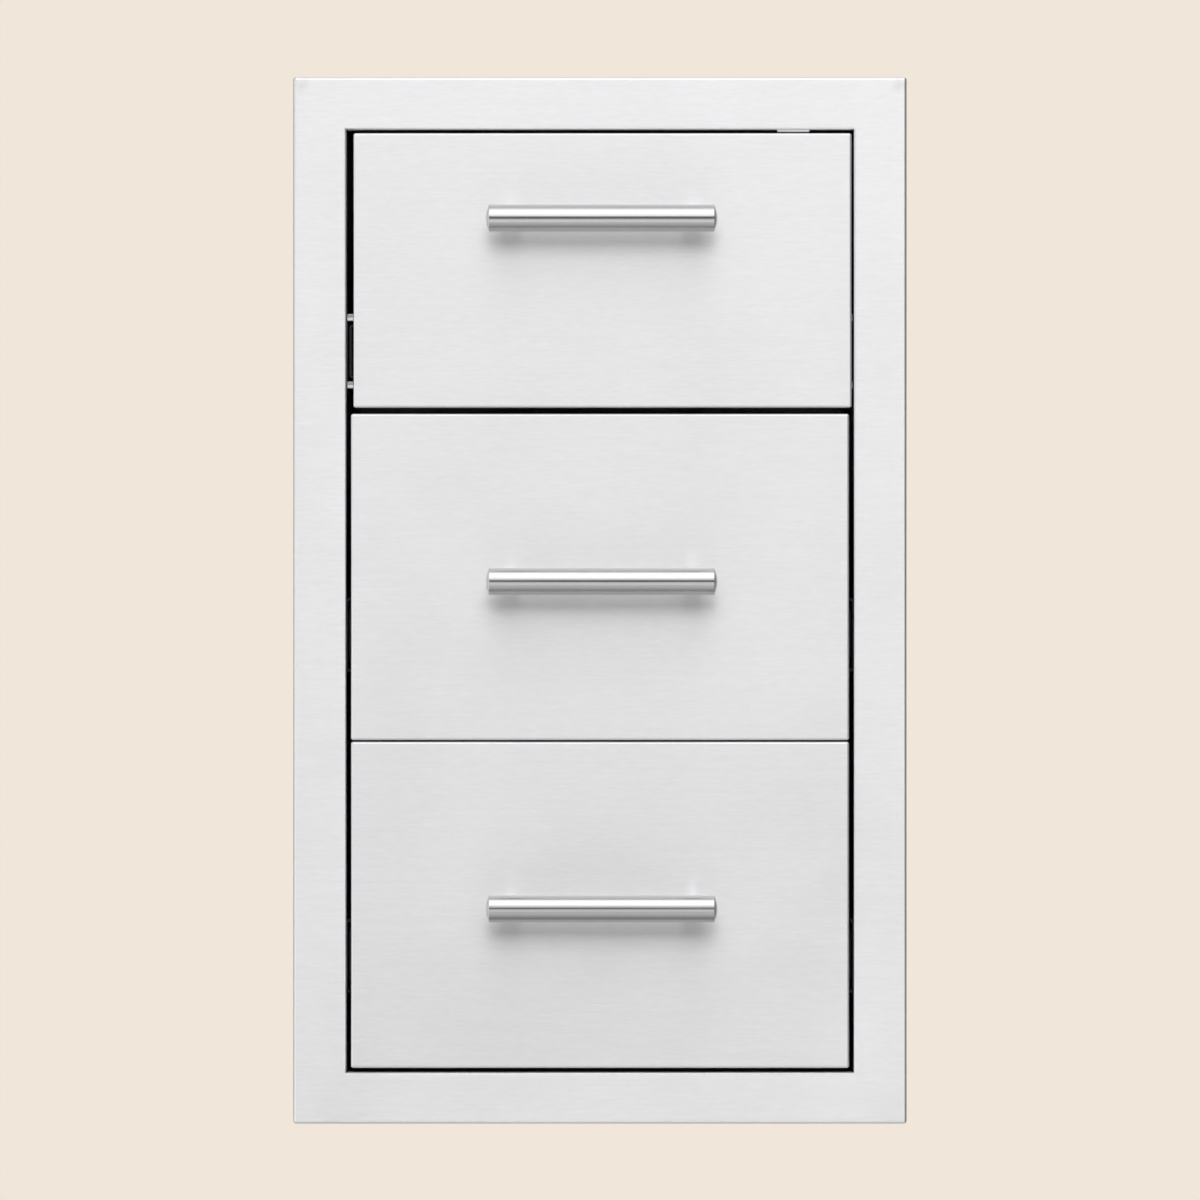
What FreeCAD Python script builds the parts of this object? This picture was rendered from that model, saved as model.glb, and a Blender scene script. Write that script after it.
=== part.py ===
import FreeCAD, Part
import itertools
import math
import os
from collections import namedtuple

# Built-in outdoor kitchen drawer unit: a steel face frame, a closed cabinet behind it and three
# drawers on full-extension ball-bearing runners. Millimetres, +Z up, the front faces -Y.
# Origin: middle of the cabinet's underside, in the plane of the wall that the frame sits against.

Vector = FreeCAD.Vector

# Face frame: one sheet with its outer edges folded back to the wall, and a collar folded into the opening
FRAME_WIDTH = 431.8
FRAME_HEIGHT = 736.6
FRAME_DEPTH = 12.0
FRAME_SHEET = 1.2
FRAME_BEND = 2.2
STILE_WIDTH = 37.4
TOP_RAIL_HEIGHT = 37.0
BOTTOM_RAIL_HEIGHT = 36.1
SEAT_LIP = 10.0
COLLAR_REACH = 14.0
CORNER_RELIEF = 2.0

# Cabinet behind the frame
CABINET_SHEET = 1.2
CABINET_DEPTH = 500.0
PANEL_FLANGE = 14.0
PANEL_LAP = 9.0
FLANGE_NOTCH = 4.0
WALL_SCREW_RADIUS = 2.6
WALL_SCREW_INSET = 44.0
WALL_SCREW_SETBACK = 45.0

# Clip under the collar's top, right of the middle
CLIP_LENGTH = 22.5
CLIP_SHEET = 1.6
CLIP_REACH = 22.0
CLIP_EDGE_DISTANCE = 31.2
CLIP_SETBACK = 2.5

# Drawer fronts: a folded outer skin with a liner let into its back. The top one is lower than the
# other two, which share the rest of the opening. It is also set over to the right on its box.
FRONT_SIDE_GAP = 3.2
TOP_GAP = 2.5
MIDDLE_GAP = 4.4
BOTTOM_GAP = 1.2
SILL_GAP = 3.2
TOP_FRONT_HEIGHT = 193.1
TOP_FRONT_SHIFT = 1.7
FRONT_DEPTH = 18.0
FRONT_SHEET = 1.0
FRONT_BEND = 1.6
FRONT_PROUD = 0.4
LINER_SHEET = 0.8
LINER_FLANGE = 12.0

# Drawer boxes
BOX_SHEET = 1.0
BOX_RIM = 8.0
BOX_BEND = 1.6
BOX_LIFT = 12.0
BOX_DROP = 49.4
END_FLANGE = 12.0

# Handles: a round bar with domed ends on two posts, its axis measured down from its front's top edge
TOP_HANDLE_DROP = 61.0
MIDDLE_HANDLE_DROP = 118.0
BOTTOM_HANDLE_DROP = 116.5
HANDLE_LENGTH = 162.0
HANDLE_RADIUS = 9.5
HANDLE_DOME = 2.2
DOME_STEPS = 2
HANDLE_OFFSET = 1.2
HANDLE_STANDOFF = 36.0
POST_SPACING = 128.0
POST_RADIUS = 6.0
SCREW_RADIUS = 2.5
SCREW_BORE = 15.0
SCREW_CLEARANCE = 0.1

# Runners: three roll-formed members that slide in each other on four rows of balls, their middle
# measured up from their front's bottom edge
TOP_RUNNER_LIFT = 40.2
MIDDLE_RUNNER_LIFT = 74.0
BOTTOM_RUNNER_LIFT = 78.0
RUNNER_HEIGHT = 53.0
RUNNER_THICKNESS = 19.1
RUNNER_SETBACK = 2.0
RUNNER_REAR_GAP = 34.0
CABINET_MEMBER_SHEET = 1.6
INTERMEDIATE_SHEET = 1.4
DRAWER_MEMBER_SHEET = 1.5
INSIDE_BEND = 0.4
BALL_RADIUS = 2.8
RACE_CLEARANCE = 0.3
RACE_STEP = 3.0
LIP_ANGLE = 25.0
DRAWER_LIP_ANGLE = 235.0
FACET_ANGLE = 26.0

# Ball cages
CAGE_END_GAP = 7.0
CAGE_SHEET = 0.5
CAGE_CLEARANCE = 0.4
CAGE_OVERLAP = 0.5
CAGE_WEB_HALF = 14.0
CAGE_TIP_GAP = 2.1
CAGE_TIP_DROP = 0.9
BALLS_IN_ROW = 3
BALL_INSET = 14.0

# Hooks that hang a cabinet member in slots of the cabinet's side
HOOKS = 2
HOOK_INSET = 60.0
HOOK_WIDTH = 10.0
HOOK_SHEET = 1.5
HOOK_DROP = 6.0
HOOK_CLEARANCE = 0.3

# Planes worked out from the sizes above
OPENING_WIDTH = FRAME_WIDTH - 2 * STILE_WIDTH
OPENING_HEIGHT = FRAME_HEIGHT - TOP_RAIL_HEIGHT - BOTTOM_RAIL_HEIGHT
OPENING_BOTTOM = CABINET_SHEET + FRAME_SHEET
OPENING_TOP = OPENING_BOTTOM + OPENING_HEIGHT
CABINET_HEIGHT = OPENING_TOP + FRAME_SHEET + CABINET_SHEET
FRAME_BOTTOM = OPENING_BOTTOM - BOTTOM_RAIL_HEIGHT
SIDE_X = OPENING_WIDTH / 2 + FRAME_SHEET
FRONT_WIDTH = OPENING_WIDTH - 2 * FRONT_SIDE_GAP
DEEP_FRONT_HEIGHT = (
    OPENING_HEIGHT - TOP_GAP - TOP_FRONT_HEIGHT - MIDDLE_GAP - BOTTOM_GAP - SILL_GAP
) / 2
FRONT_Y = -FRAME_DEPTH - FRONT_PROUD
FRONT_BACK_Y = FRONT_Y + FRONT_DEPTH
HANDLE_Y = FRONT_Y - HANDLE_STANDOFF
POST_SEAT_DEPTH = HANDLE_RADIUS - math.sqrt(HANDLE_RADIUS**2 - POST_RADIUS**2)
RUNNER_Y = COLLAR_REACH + RUNNER_SETBACK
RUNNER_LENGTH = CABINET_DEPTH - RUNNER_REAR_GAP - RUNNER_Y
CAGE_LENGTH = RUNNER_LENGTH / 2 - CAGE_END_GAP
BOX_LENGTH = RUNNER_Y + RUNNER_LENGTH - FRONT_BACK_Y
BOX_HALF_WIDTH = SIDE_X - RUNNER_THICKNESS

# Centres of the outer and the inner ball rows in a runner's section: u runs from the cabinet's side
# towards the drawer, v up from the runner's middle
RACE_RADIUS = BALL_RADIUS + RACE_CLEARANCE
OUTER_U = CABINET_MEMBER_SHEET + RACE_RADIUS
OUTER_V = RUNNER_HEIGHT / 2 - OUTER_U
ROW_DISTANCE = 2 * RACE_RADIUS + INTERMEDIATE_SHEET
INNER_U = OUTER_U + math.sqrt(ROW_DISTANCE**2 - RACE_STEP**2)
INNER_V = OUTER_V - RACE_STEP
ROW_SLOPE = math.degrees(math.asin(RACE_STEP / ROW_DISTANCE))

# The drawers from the top down
Drawer = namedtuple("Drawer", "name gap_above front_height front_shift handle_drop runner_lift")
DRAWERS = (
    Drawer("top", TOP_GAP, TOP_FRONT_HEIGHT, TOP_FRONT_SHIFT, TOP_HANDLE_DROP, TOP_RUNNER_LIFT),
    Drawer("middle", MIDDLE_GAP, DEEP_FRONT_HEIGHT, 0, MIDDLE_HANDLE_DROP, MIDDLE_RUNNER_LIFT),
    Drawer("bottom", BOTTOM_GAP, DEEP_FRONT_HEIGHT, 0, BOTTOM_HANDLE_DROP, BOTTOM_RUNNER_LIFT),
)


def block(x_range, y_range, z_range):
    """A box between the two limits given on each axis."""
    low = Vector(x_range[0], y_range[0], z_range[0])
    size = Vector(x_range[1], y_range[1], z_range[1]) - low
    return Part.makeBox(size.x, size.y, size.z, low)


def rod(radius, start, end):
    """A round bar from start to end."""
    way = end - start
    return Part.makeCylinder(radius, way.Length, start, way)


def edges_within(shape, x_range, y_range, z_range):
    """The edges of shape that lie wholly inside the given box."""
    slack = 0.01
    ranges = (x_range, y_range, z_range)
    found = []
    for edge in shape.Edges:
        box = edge.BoundBox
        spans = ((box.XMin, box.XMax), (box.YMin, box.YMax), (box.ZMin, box.ZMax))
        if all(low - slack <= a and b <= high + slack for (a, b), (low, high) in zip(spans, ranges)):
            found.append(edge)
    return found


def write(name, shapes):
    """Write one sub-part as a STEP file, a group of like pieces as separate solids."""
    shape = shapes[0] if len(shapes) == 1 else Part.makeCompound(shapes)
    shape.exportStep(os.path.join("parts", name + ".step"))


# Face frame


def frame_edge_shell():
    """The frame's outer block with its front edges rounded."""
    half = FRAME_WIDTH / 2
    top = FRAME_BOTTOM + FRAME_HEIGHT
    raw = block((-half, half), (-FRAME_DEPTH, 0), (FRAME_BOTTOM, top))
    rim = edges_within(raw, (-half, half), (-FRAME_DEPTH, -FRAME_DEPTH), (FRAME_BOTTOM, top))
    return raw.makeFillet(FRAME_BEND, rim)


def face_frame():
    """Front sheet, folded outer edges with a seating lip, and the collar with relieved corners."""
    half = FRAME_WIDTH / 2
    top = FRAME_BOTTOM + FRAME_HEIGHT
    shell = frame_edge_shell()
    hollow = block(
        (-half + FRAME_SHEET, half - FRAME_SHEET),
        (-FRAME_DEPTH + FRAME_SHEET, 0),
        (FRAME_BOTTOM + FRAME_SHEET, top - FRAME_SHEET),
    )
    lip = shell.common(block((-half, half), (-FRAME_SHEET, 0), (FRAME_BOTTOM, top)))
    lip_window = block(
        (-half + SEAT_LIP, half - SEAT_LIP),
        (-FRAME_DEPTH, FRAME_DEPTH),
        (FRAME_BOTTOM + SEAT_LIP, top - SEAT_LIP),
    )
    collar = block(
        (-SIDE_X, SIDE_X),
        (-FRAME_DEPTH, COLLAR_REACH),
        (OPENING_BOTTOM - FRAME_SHEET, OPENING_TOP + FRAME_SHEET),
    )
    half_opening = OPENING_WIDTH / 2
    opening = block(
        (-half_opening, half_opening),
        (-FRAME_DEPTH - 1, COLLAR_REACH + 1),
        (OPENING_BOTTOM, OPENING_TOP),
    )
    frame = shell.cut(hollow).fuse([lip.cut(lip_window), collar]).cut(opening).removeSplitter()
    mouth = edges_within(
        frame,
        (-half_opening, half_opening),
        (-FRAME_DEPTH, -FRAME_DEPTH),
        (OPENING_BOTTOM, OPENING_TOP),
    )
    frame = frame.makeFillet(FRAME_BEND, mouth)
    sheet_back = -FRAME_DEPTH + FRAME_SHEET
    for x in (-half_opening, half_opening):
        for z in (OPENING_BOTTOM, OPENING_TOP):
            relief = rod(CORNER_RELIEF, Vector(x, -FRAME_DEPTH - 1, z), Vector(x, sheet_back, z))
            gap = block(
                (x - CORNER_RELIEF, x + CORNER_RELIEF),
                (sheet_back, COLLAR_REACH + 1),
                (z - CORNER_RELIEF, z + CORNER_RELIEF),
            )
            frame = frame.cut([relief, gap])
    return frame


def frame_clip():
    """Small folded clip under the collar's top, its front edge just behind the frame's face."""
    front = -FRAME_DEPTH + CLIP_SETBACK
    left = OPENING_WIDTH / 2 - CLIP_EDGE_DISTANCE - CLIP_LENGTH
    raw = block(
        (left, left + CLIP_LENGTH),
        (front, front + CLIP_REACH),
        (OPENING_TOP - CLIP_SHEET, OPENING_TOP),
    )
    nose = edges_within(
        raw,
        (left, left + CLIP_LENGTH),
        (front, front),
        (OPENING_TOP - CLIP_SHEET, OPENING_TOP - CLIP_SHEET),
    )
    return raw.makeFillet(CLIP_SHEET / 2, nose)


# Cabinet


def hook_positions():
    """Where along a runner its hooks stand, measured on Y."""
    first = RUNNER_Y + HOOK_INSET
    step = (RUNNER_LENGTH - 2 * HOOK_INSET) / (HOOKS - 1)
    return [first + step * i for i in range(HOOKS)]


def cabinet_side(side):
    """Side panel with a rear flange, slots for the runners' hooks and two holes for wall screws."""
    outer_x = SIDE_X + CABINET_SHEET
    low = CABINET_SHEET
    high = CABINET_HEIGHT - CABINET_SHEET
    back = CABINET_DEPTH - CABINET_SHEET
    panel = block((SIDE_X, outer_x), (-PANEL_LAP, back), (low, high))
    flange = block(
        (outer_x - PANEL_FLANGE, outer_x),
        (back - CABINET_SHEET, back),
        (low + PANEL_FLANGE + FLANGE_NOTCH, high - PANEL_FLANGE - FLANGE_NOTCH),
    )
    panel = panel.fuse(flange).removeSplitter()
    slot_half = HOOK_WIDTH / 2 + HOOK_CLEARANCE
    for _, middle in runner_levels():
        for y in hook_positions():
            slot = block(
                (SIDE_X - 1, outer_x + 1),
                (y - slot_half, y + slot_half),
                (middle, middle + HOOK_SHEET + HOOK_DROP + HOOK_CLEARANCE),
            )
            panel = panel.cut(slot)
    for z in wall_screw_heights():
        start = Vector(SIDE_X - 1, WALL_SCREW_SETBACK, z)
        panel = panel.cut(rod(WALL_SCREW_RADIUS, start, start + Vector(CABINET_SHEET + 2, 0, 0)))
    return mirrored(panel, side)


def wall_screw_heights():
    """Heights of the two screw holes in each side of the cabinet."""
    return (WALL_SCREW_INSET, CABINET_HEIGHT - WALL_SCREW_INSET)


def mirrored(shape, side):
    """The right-hand piece for side 1, and its mirror image for side -1."""
    if side > 0:
        return shape
    return shape.mirror(Vector(0, 0, 0), Vector(1, 0, 0))


def cabinet_bottom():
    """Floor panel with flanges turned up outside the side panels and one turned up at the back."""
    half = SIDE_X + CABINET_SHEET
    back = CABINET_DEPTH - CABINET_SHEET
    floor = block((-half - CABINET_SHEET, half + CABINET_SHEET), (-PANEL_LAP, back), (0, CABINET_SHEET))
    pieces = []
    for x in (-half - CABINET_SHEET, half):
        pieces.append(block((x, x + CABINET_SHEET), (-PANEL_LAP, back), (0, PANEL_FLANGE)))
    inner = SIDE_X - FLANGE_NOTCH
    pieces.append(block((-inner, inner), (back - CABINET_SHEET, back), (0, PANEL_FLANGE)))
    return floor.fuse(pieces).removeSplitter()


def cabinet_top():
    """The floor panel turned over."""
    middle = Vector(0, 0, CABINET_HEIGHT / 2)
    return cabinet_bottom().mirror(middle, Vector(0, 0, 1))


def cabinet_back():
    """Flat sheet over the flanges at the back."""
    half = SIDE_X + CABINET_SHEET
    return block((-half, half), (CABINET_DEPTH - CABINET_SHEET, CABINET_DEPTH), (0, CABINET_HEIGHT))


# Drawer fronts


def open_pan(x_range, y_range, z_range, sheet, open_side):
    """A tray of thin sheet, open towards +Y or -Y."""
    wall = block(x_range, y_range, z_range)
    inner_y = (y_range[0] + sheet, y_range[1]) if open_side > 0 else (y_range[0], y_range[1] - sheet)
    hollow = block(
        (x_range[0] + sheet, x_range[1] - sheet),
        inner_y,
        (z_range[0] + sheet, z_range[1] - sheet),
    )
    return wall, hollow


def front_skin(drawer, bottom):
    """Outer skin of a drawer front, folded back on all four sides, with two handle holes."""
    left = drawer.front_shift - FRONT_WIDTH / 2
    spans = ((left, left + FRONT_WIDTH), (FRONT_Y, FRONT_BACK_Y), (bottom, bottom + drawer.front_height))
    wall, hollow = open_pan(*spans, FRONT_SHEET, 1)
    rim = edges_within(wall, spans[0], (FRONT_Y, FRONT_Y), spans[2])
    skin = wall.makeFillet(FRONT_BEND, rim).cut(hollow)
    for x in post_places():
        start = Vector(x, FRONT_Y - 1, handle_height(drawer, bottom))
        skin = skin.cut(rod(SCREW_RADIUS + SCREW_CLEARANCE, start, start + Vector(0, FRONT_SHEET + 2, 0)))
    return skin


def front_liner(drawer, bottom):
    """Inner pan that closes the back of a drawer front, its flanges inside those of the skin."""
    left = drawer.front_shift - FRONT_WIDTH / 2
    wall, hollow = open_pan(
        (left + FRONT_SHEET, left + FRONT_WIDTH - FRONT_SHEET),
        (FRONT_BACK_Y - LINER_FLANGE, FRONT_BACK_Y),
        (bottom + FRONT_SHEET, bottom + drawer.front_height - FRONT_SHEET),
        LINER_SHEET,
        -1,
    )
    return wall.cut(hollow)


# Handles


def post_places():
    """X of a handle's two posts."""
    return (HANDLE_OFFSET - POST_SPACING / 2, HANDLE_OFFSET + POST_SPACING / 2)


def handle_height(drawer, bottom):
    """Height of a handle's axis."""
    return bottom + drawer.front_height - drawer.handle_drop


def handle_bar(drawer, bottom):
    """Round bar with stepped domed ends, milled flat where its posts are welded on."""
    z = handle_height(drawer, bottom)
    half = HANDLE_LENGTH / 2
    dome_radius = (HANDLE_RADIUS**2 + HANDLE_DOME**2) / (2 * HANDLE_DOME)
    whole_turn = math.asin(HANDLE_RADIUS / dome_radius)
    rim = []
    for i in range(1, DOME_STEPS + 1):
        turn = whole_turn * i / DOME_STEPS
        reach = dome_radius * (1 - math.cos(turn))
        rim.append((half - reach, dome_radius * math.sin(turn)))
    profile = [(half, 0), (half, rim[0][1])] + rim[1:]
    profile += [(-along, rise) for along, rise in profile[::-1]]
    points = [Vector(HANDLE_OFFSET + along, HANDLE_Y, z + rise) for along, rise in profile]
    axis_start = Vector(HANDLE_OFFSET, HANDLE_Y, z)
    bar = Part.Face(Part.makePolygon(points + [points[0]])).revolve(axis_start, Vector(1, 0, 0), 360)
    for x in post_places():
        flat = block(
            (x - POST_RADIUS, x + POST_RADIUS),
            (HANDLE_Y + HANDLE_RADIUS - POST_SEAT_DEPTH, HANDLE_Y + HANDLE_RADIUS + 1),
            (z - HANDLE_RADIUS, z + HANDLE_RADIUS),
        )
        bar = bar.cut(flat)
    return bar


def handle_posts(drawer, bottom):
    """Two round posts from the bar's flats to the drawer front, each bored for a screw."""
    z = handle_height(drawer, bottom)
    seat = HANDLE_Y + HANDLE_RADIUS - POST_SEAT_DEPTH
    posts = []
    for x in post_places():
        post = rod(POST_RADIUS, Vector(x, seat, z), Vector(x, FRONT_Y, z))
        bore_end = Vector(x, FRONT_Y - SCREW_BORE, z)
        posts.append(post.cut(rod(SCREW_RADIUS, bore_end, Vector(x, FRONT_Y, z))))
    return posts


# Drawer boxes


def drawer_box(drawer, bottom):
    """Floor and sides folded from one sheet, with rims turned in along the top."""
    base = bottom + BOX_LIFT
    high = bottom + drawer.front_height - BOX_DROP
    half = BOX_HALF_WIDTH
    inner = half - BOX_SHEET
    rim = half - BOX_RIM
    outline = [
        (-rim, high),
        (-half, high),
        (-half, base),
        (half, base),
        (half, high),
        (rim, high),
        (rim, high - BOX_SHEET),
        (inner, high - BOX_SHEET),
        (inner, base + BOX_SHEET),
        (-inner, base + BOX_SHEET),
        (-inner, high - BOX_SHEET),
        (-rim, high - BOX_SHEET),
        (-rim, high),
    ]
    points = [Vector(x, FRONT_BACK_Y, z) for x, z in outline]
    box = Part.Face(Part.makePolygon(points)).extrude(Vector(0, BOX_LENGTH, 0))
    length = (FRONT_BACK_Y, FRONT_BACK_Y + BOX_LENGTH)
    folds = []
    for x in (-half, half):
        for z in (base, high):
            folds += edges_within(box, (x, x), length, (z, z))
    return box.makeFillet(BOX_BEND, folds)


def drawer_end(drawer, bottom, at_back):
    """End wall of a drawer box, its flanges lapping the floor, the sides and the rims inside."""
    base = bottom + BOX_LIFT + BOX_SHEET
    high = bottom + drawer.front_height - BOX_DROP - BOX_SHEET
    half = BOX_HALF_WIDTH - BOX_SHEET
    if at_back:
        end = FRONT_BACK_Y + BOX_LENGTH
        wall, hollow = open_pan((-half, half), (end - END_FLANGE, end), (base, high), BOX_SHEET, -1)
    else:
        start = FRONT_BACK_Y
        wall, hollow = open_pan((-half, half), (start, start + END_FLANGE), (base, high), BOX_SHEET, 1)
    return wall.cut(hollow)


# Runners


def arc_points(centre, radius, start, end):
    """Points of an arc in the section, about one for each FACET_ANGLE, both ends included."""
    facets = max(1, round(abs(end - start) / FACET_ANGLE))
    points = []
    for i in range(facets + 1):
        turn = math.radians(start + (end - start) * i / facets)
        points.append((centre[0] + radius * math.cos(turn), centre[1] + radius * math.sin(turn)))
    return points


def symmetric_strip(one_face, other_face):
    """Closed section of a strip from its two faces' upper halves, both given from the web to the lip."""
    upper = one_face + other_face[::-1]
    lower = [(u, -v) for u, v in upper[::-1]]
    return upper + lower


def extruded(section, start_y, length, level):
    """A section drawn in u and v, run along Y on the right-hand side at the given level."""
    points = [Vector(SIDE_X - u, start_y, level + v) for u, v in section]
    face = Part.Face(Part.makePolygon(points + [points[0]]))
    return face.extrude(Vector(0, length, 0))


def cabinet_section():
    """Cabinet member: a channel whose edges curl round the outer balls."""
    centre = (OUTER_U, OUTER_V)
    outside = arc_points(centre, RACE_RADIUS + CABINET_MEMBER_SHEET, 180, LIP_ANGLE)
    inside = arc_points(centre, RACE_RADIUS, 180, LIP_ANGLE)
    return symmetric_strip(outside, inside)


def intermediate_section():
    """Intermediate member: each edge cups the outer balls from below, then curls over the inner ones."""
    outer = (OUTER_U, OUTER_V)
    inner = (INNER_U, INNER_V)
    thick_race = RACE_RADIUS + INTERMEDIATE_SHEET
    bend = (OUTER_U, OUTER_V - thick_race - INSIDE_BEND)
    upper_face = arc_points(bend, INTERMEDIATE_SHEET + INSIDE_BEND, 180, 90)
    upper_face += arc_points(outer, RACE_RADIUS, -90, -ROW_SLOPE)[1:]
    upper_face += arc_points(inner, thick_race, 180 - ROW_SLOPE, LIP_ANGLE)[1:]
    lower_face = arc_points(bend, INSIDE_BEND, 180, 90)
    lower_face += arc_points(outer, thick_race, -90, -ROW_SLOPE)[1:]
    lower_face += arc_points(inner, RACE_RADIUS, 180 - ROW_SLOPE, LIP_ANGLE)[1:]
    return symmetric_strip(upper_face, lower_face)


def drawer_section():
    """Drawer member: a channel turned the other way, its edges cupping the inner balls from below."""
    inner = (INNER_U, INNER_V)
    outside_bend = DRAWER_MEMBER_SHEET + INSIDE_BEND
    bend = (RUNNER_THICKNESS - outside_bend, INNER_V - RACE_RADIUS - outside_bend)
    upper_face = arc_points(bend, outside_bend, 0, 90)
    upper_face += arc_points(inner, RACE_RADIUS, 270, DRAWER_LIP_ANGLE)
    lower_face = arc_points(bend, INSIDE_BEND, 0, 90)
    lower_face += arc_points(inner, RACE_RADIUS + DRAWER_MEMBER_SHEET, 270, DRAWER_LIP_ANGLE)
    return symmetric_strip(upper_face, lower_face)


def cabinet_member(side, level):
    """Cabinet member with the hooks that hang it in the side panel."""
    member = extruded(cabinet_section(), RUNNER_Y, RUNNER_LENGTH, level)
    outside = SIDE_X + CABINET_SHEET + HOOK_CLEARANCE
    hooks = []
    for y in hook_positions():
        width = (y - HOOK_WIDTH / 2, y + HOOK_WIDTH / 2)
        hooks.append(block((SIDE_X, outside + HOOK_SHEET), width, (level, level + HOOK_SHEET)))
        hooks.append(block((outside, outside + HOOK_SHEET), width, (level - HOOK_DROP, level)))
    return mirrored(member.fuse(hooks).removeSplitter(), side)


def intermediate_member(side, level):
    """Intermediate member of a runner."""
    return mirrored(extruded(intermediate_section(), RUNNER_Y, RUNNER_LENGTH, level), side)


def drawer_member(side, level):
    """Drawer member of a runner."""
    return mirrored(extruded(drawer_section(), RUNNER_Y, RUNNER_LENGTH, level), side)


def ball(centre):
    """A ball with twenty equal flat faces."""
    ratio = (1 + math.sqrt(5)) / 2
    low = BALL_RADIUS / math.sqrt(1 + ratio**2)
    high = low * ratio
    corners = []
    for a, b in ((-low, -high), (-low, high), (low, -high), (low, high)):
        corners += [Vector(0, a, b), Vector(a, b, 0), Vector(b, 0, a)]
    faces = []
    for trio in itertools.combinations(corners, 3):
        sides = [(trio[i] - trio[i - 1]).Length for i in range(3)]
        if max(sides) < 2.1 * low:
            points = [centre + corner for corner in trio]
            faces.append(Part.Face(Part.makePolygon(points + [points[0]])))
    solid = Part.Solid(Part.Shell(faces))
    return solid if solid.Volume > 0 else solid.reversed()


def cage_start():
    """Y of a cage's front end: both cages stand at the middle of the runner when it is shut."""
    return RUNNER_Y + (RUNNER_LENGTH - CAGE_LENGTH) / 2


def ball_places():
    """Y of the balls in one row."""
    step = (CAGE_LENGTH - 2 * BALL_INSET) / (BALLS_IN_ROW - 1)
    return [cage_start() + BALL_INSET + step * i for i in range(BALLS_IN_ROW)]


def ball_cage(section, row_u, row_v, side, level):
    """A strip with a pocket at each ball, and its two rows of balls."""
    strip = extruded(section, cage_start(), CAGE_LENGTH, level)
    balls = []
    for y in ball_places():
        for v in (-row_v, row_v):
            centre = Vector(SIDE_X - row_u, y, level + v)
            rolling = ball(centre)
            room = rolling.BoundBox
            pocket = block(
                (centre.x - BALL_RADIUS, centre.x + BALL_RADIUS),
                (room.YMin, room.YMax),
                (centre.z - BALL_RADIUS, centre.z + BALL_RADIUS),
            )
            strip = strip.cut(pocket)
            balls.append(rolling)
    return [mirrored(piece, side) for piece in [strip] + balls]


def outer_cage(side, level):
    """Cage between the cabinet member and the intermediate member."""
    near = CABINET_MEMBER_SHEET + CAGE_CLEARANCE
    high = OUTER_V + CAGE_OVERLAP
    section = [(near, -high), (near, high), (near + CAGE_SHEET, high), (near + CAGE_SHEET, -high)]
    return ball_cage(section, OUTER_U, OUTER_V, side, level)


def inner_cage(side, level):
    """Cage between the intermediate and the drawer member, its edges splayed towards the balls."""
    near = OUTER_U - INSIDE_BEND + CAGE_CLEARANCE
    tip = (INNER_U - CAGE_TIP_GAP, INNER_V - CAGE_TIP_DROP)
    one_face = [(near, CAGE_WEB_HALF), tip]
    other_face = [(u + CAGE_SHEET, v) for u, v in one_face]
    return ball_cage(symmetric_strip(one_face, other_face), INNER_U, INNER_V, side, level)


# Assembly


def drawer_levels():
    """Each drawer with the height of its front's bottom edge, from the top down."""
    levels = []
    edge = OPENING_TOP
    for drawer in DRAWERS:
        edge -= drawer.gap_above + drawer.front_height
        levels.append((drawer, edge))
    return levels


def runner_levels():
    """Each drawer with the height of its runners' middle."""
    return [(drawer, bottom + drawer.runner_lift) for drawer, bottom in drawer_levels()]


def write_cabinet():
    """The pieces that stay put."""
    write("face_frame", [face_frame()])
    write("frame_clip", [frame_clip()])
    write("cabinet_side_left", [cabinet_side(-1)])
    write("cabinet_side_right", [cabinet_side(1)])
    write("cabinet_bottom", [cabinet_bottom()])
    write("cabinet_top", [cabinet_top()])
    write("cabinet_back", [cabinet_back()])


def write_drawer(drawer, bottom):
    """The pieces that move with one drawer."""
    write(drawer.name + "_front_skin", [front_skin(drawer, bottom)])
    write(drawer.name + "_front_liner", [front_liner(drawer, bottom)])
    write(drawer.name + "_handle_bar", [handle_bar(drawer, bottom)])
    write(drawer.name + "_handle_posts", handle_posts(drawer, bottom))
    write(drawer.name + "_drawer_box", [drawer_box(drawer, bottom)])
    write(drawer.name + "_drawer_front_wall", [drawer_end(drawer, bottom, False)])
    write(drawer.name + "_drawer_back_wall", [drawer_end(drawer, bottom, True)])


def write_runners(drawer, level):
    """The pair of runners that carries one drawer."""
    for side, hand in ((-1, "left"), (1, "right")):
        write(drawer.name + "_cabinet_member_" + hand, [cabinet_member(side, level)])
        write(drawer.name + "_intermediate_member_" + hand, [intermediate_member(side, level)])
        write(drawer.name + "_drawer_member_" + hand, [drawer_member(side, level)])
    write(drawer.name + "_outer_ball_cages", outer_cage(-1, level) + outer_cage(1, level))
    write(drawer.name + "_inner_ball_cages", inner_cage(-1, level) + inner_cage(1, level))


os.makedirs("parts", exist_ok=True)
write_cabinet()
for drawer, bottom in drawer_levels():
    write_drawer(drawer, bottom)
for drawer, level in runner_levels():
    write_runners(drawer, level)
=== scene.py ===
from contextlib import contextmanager
from math import asin, cos, degrees, pi, radians, sin, sqrt

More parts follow.
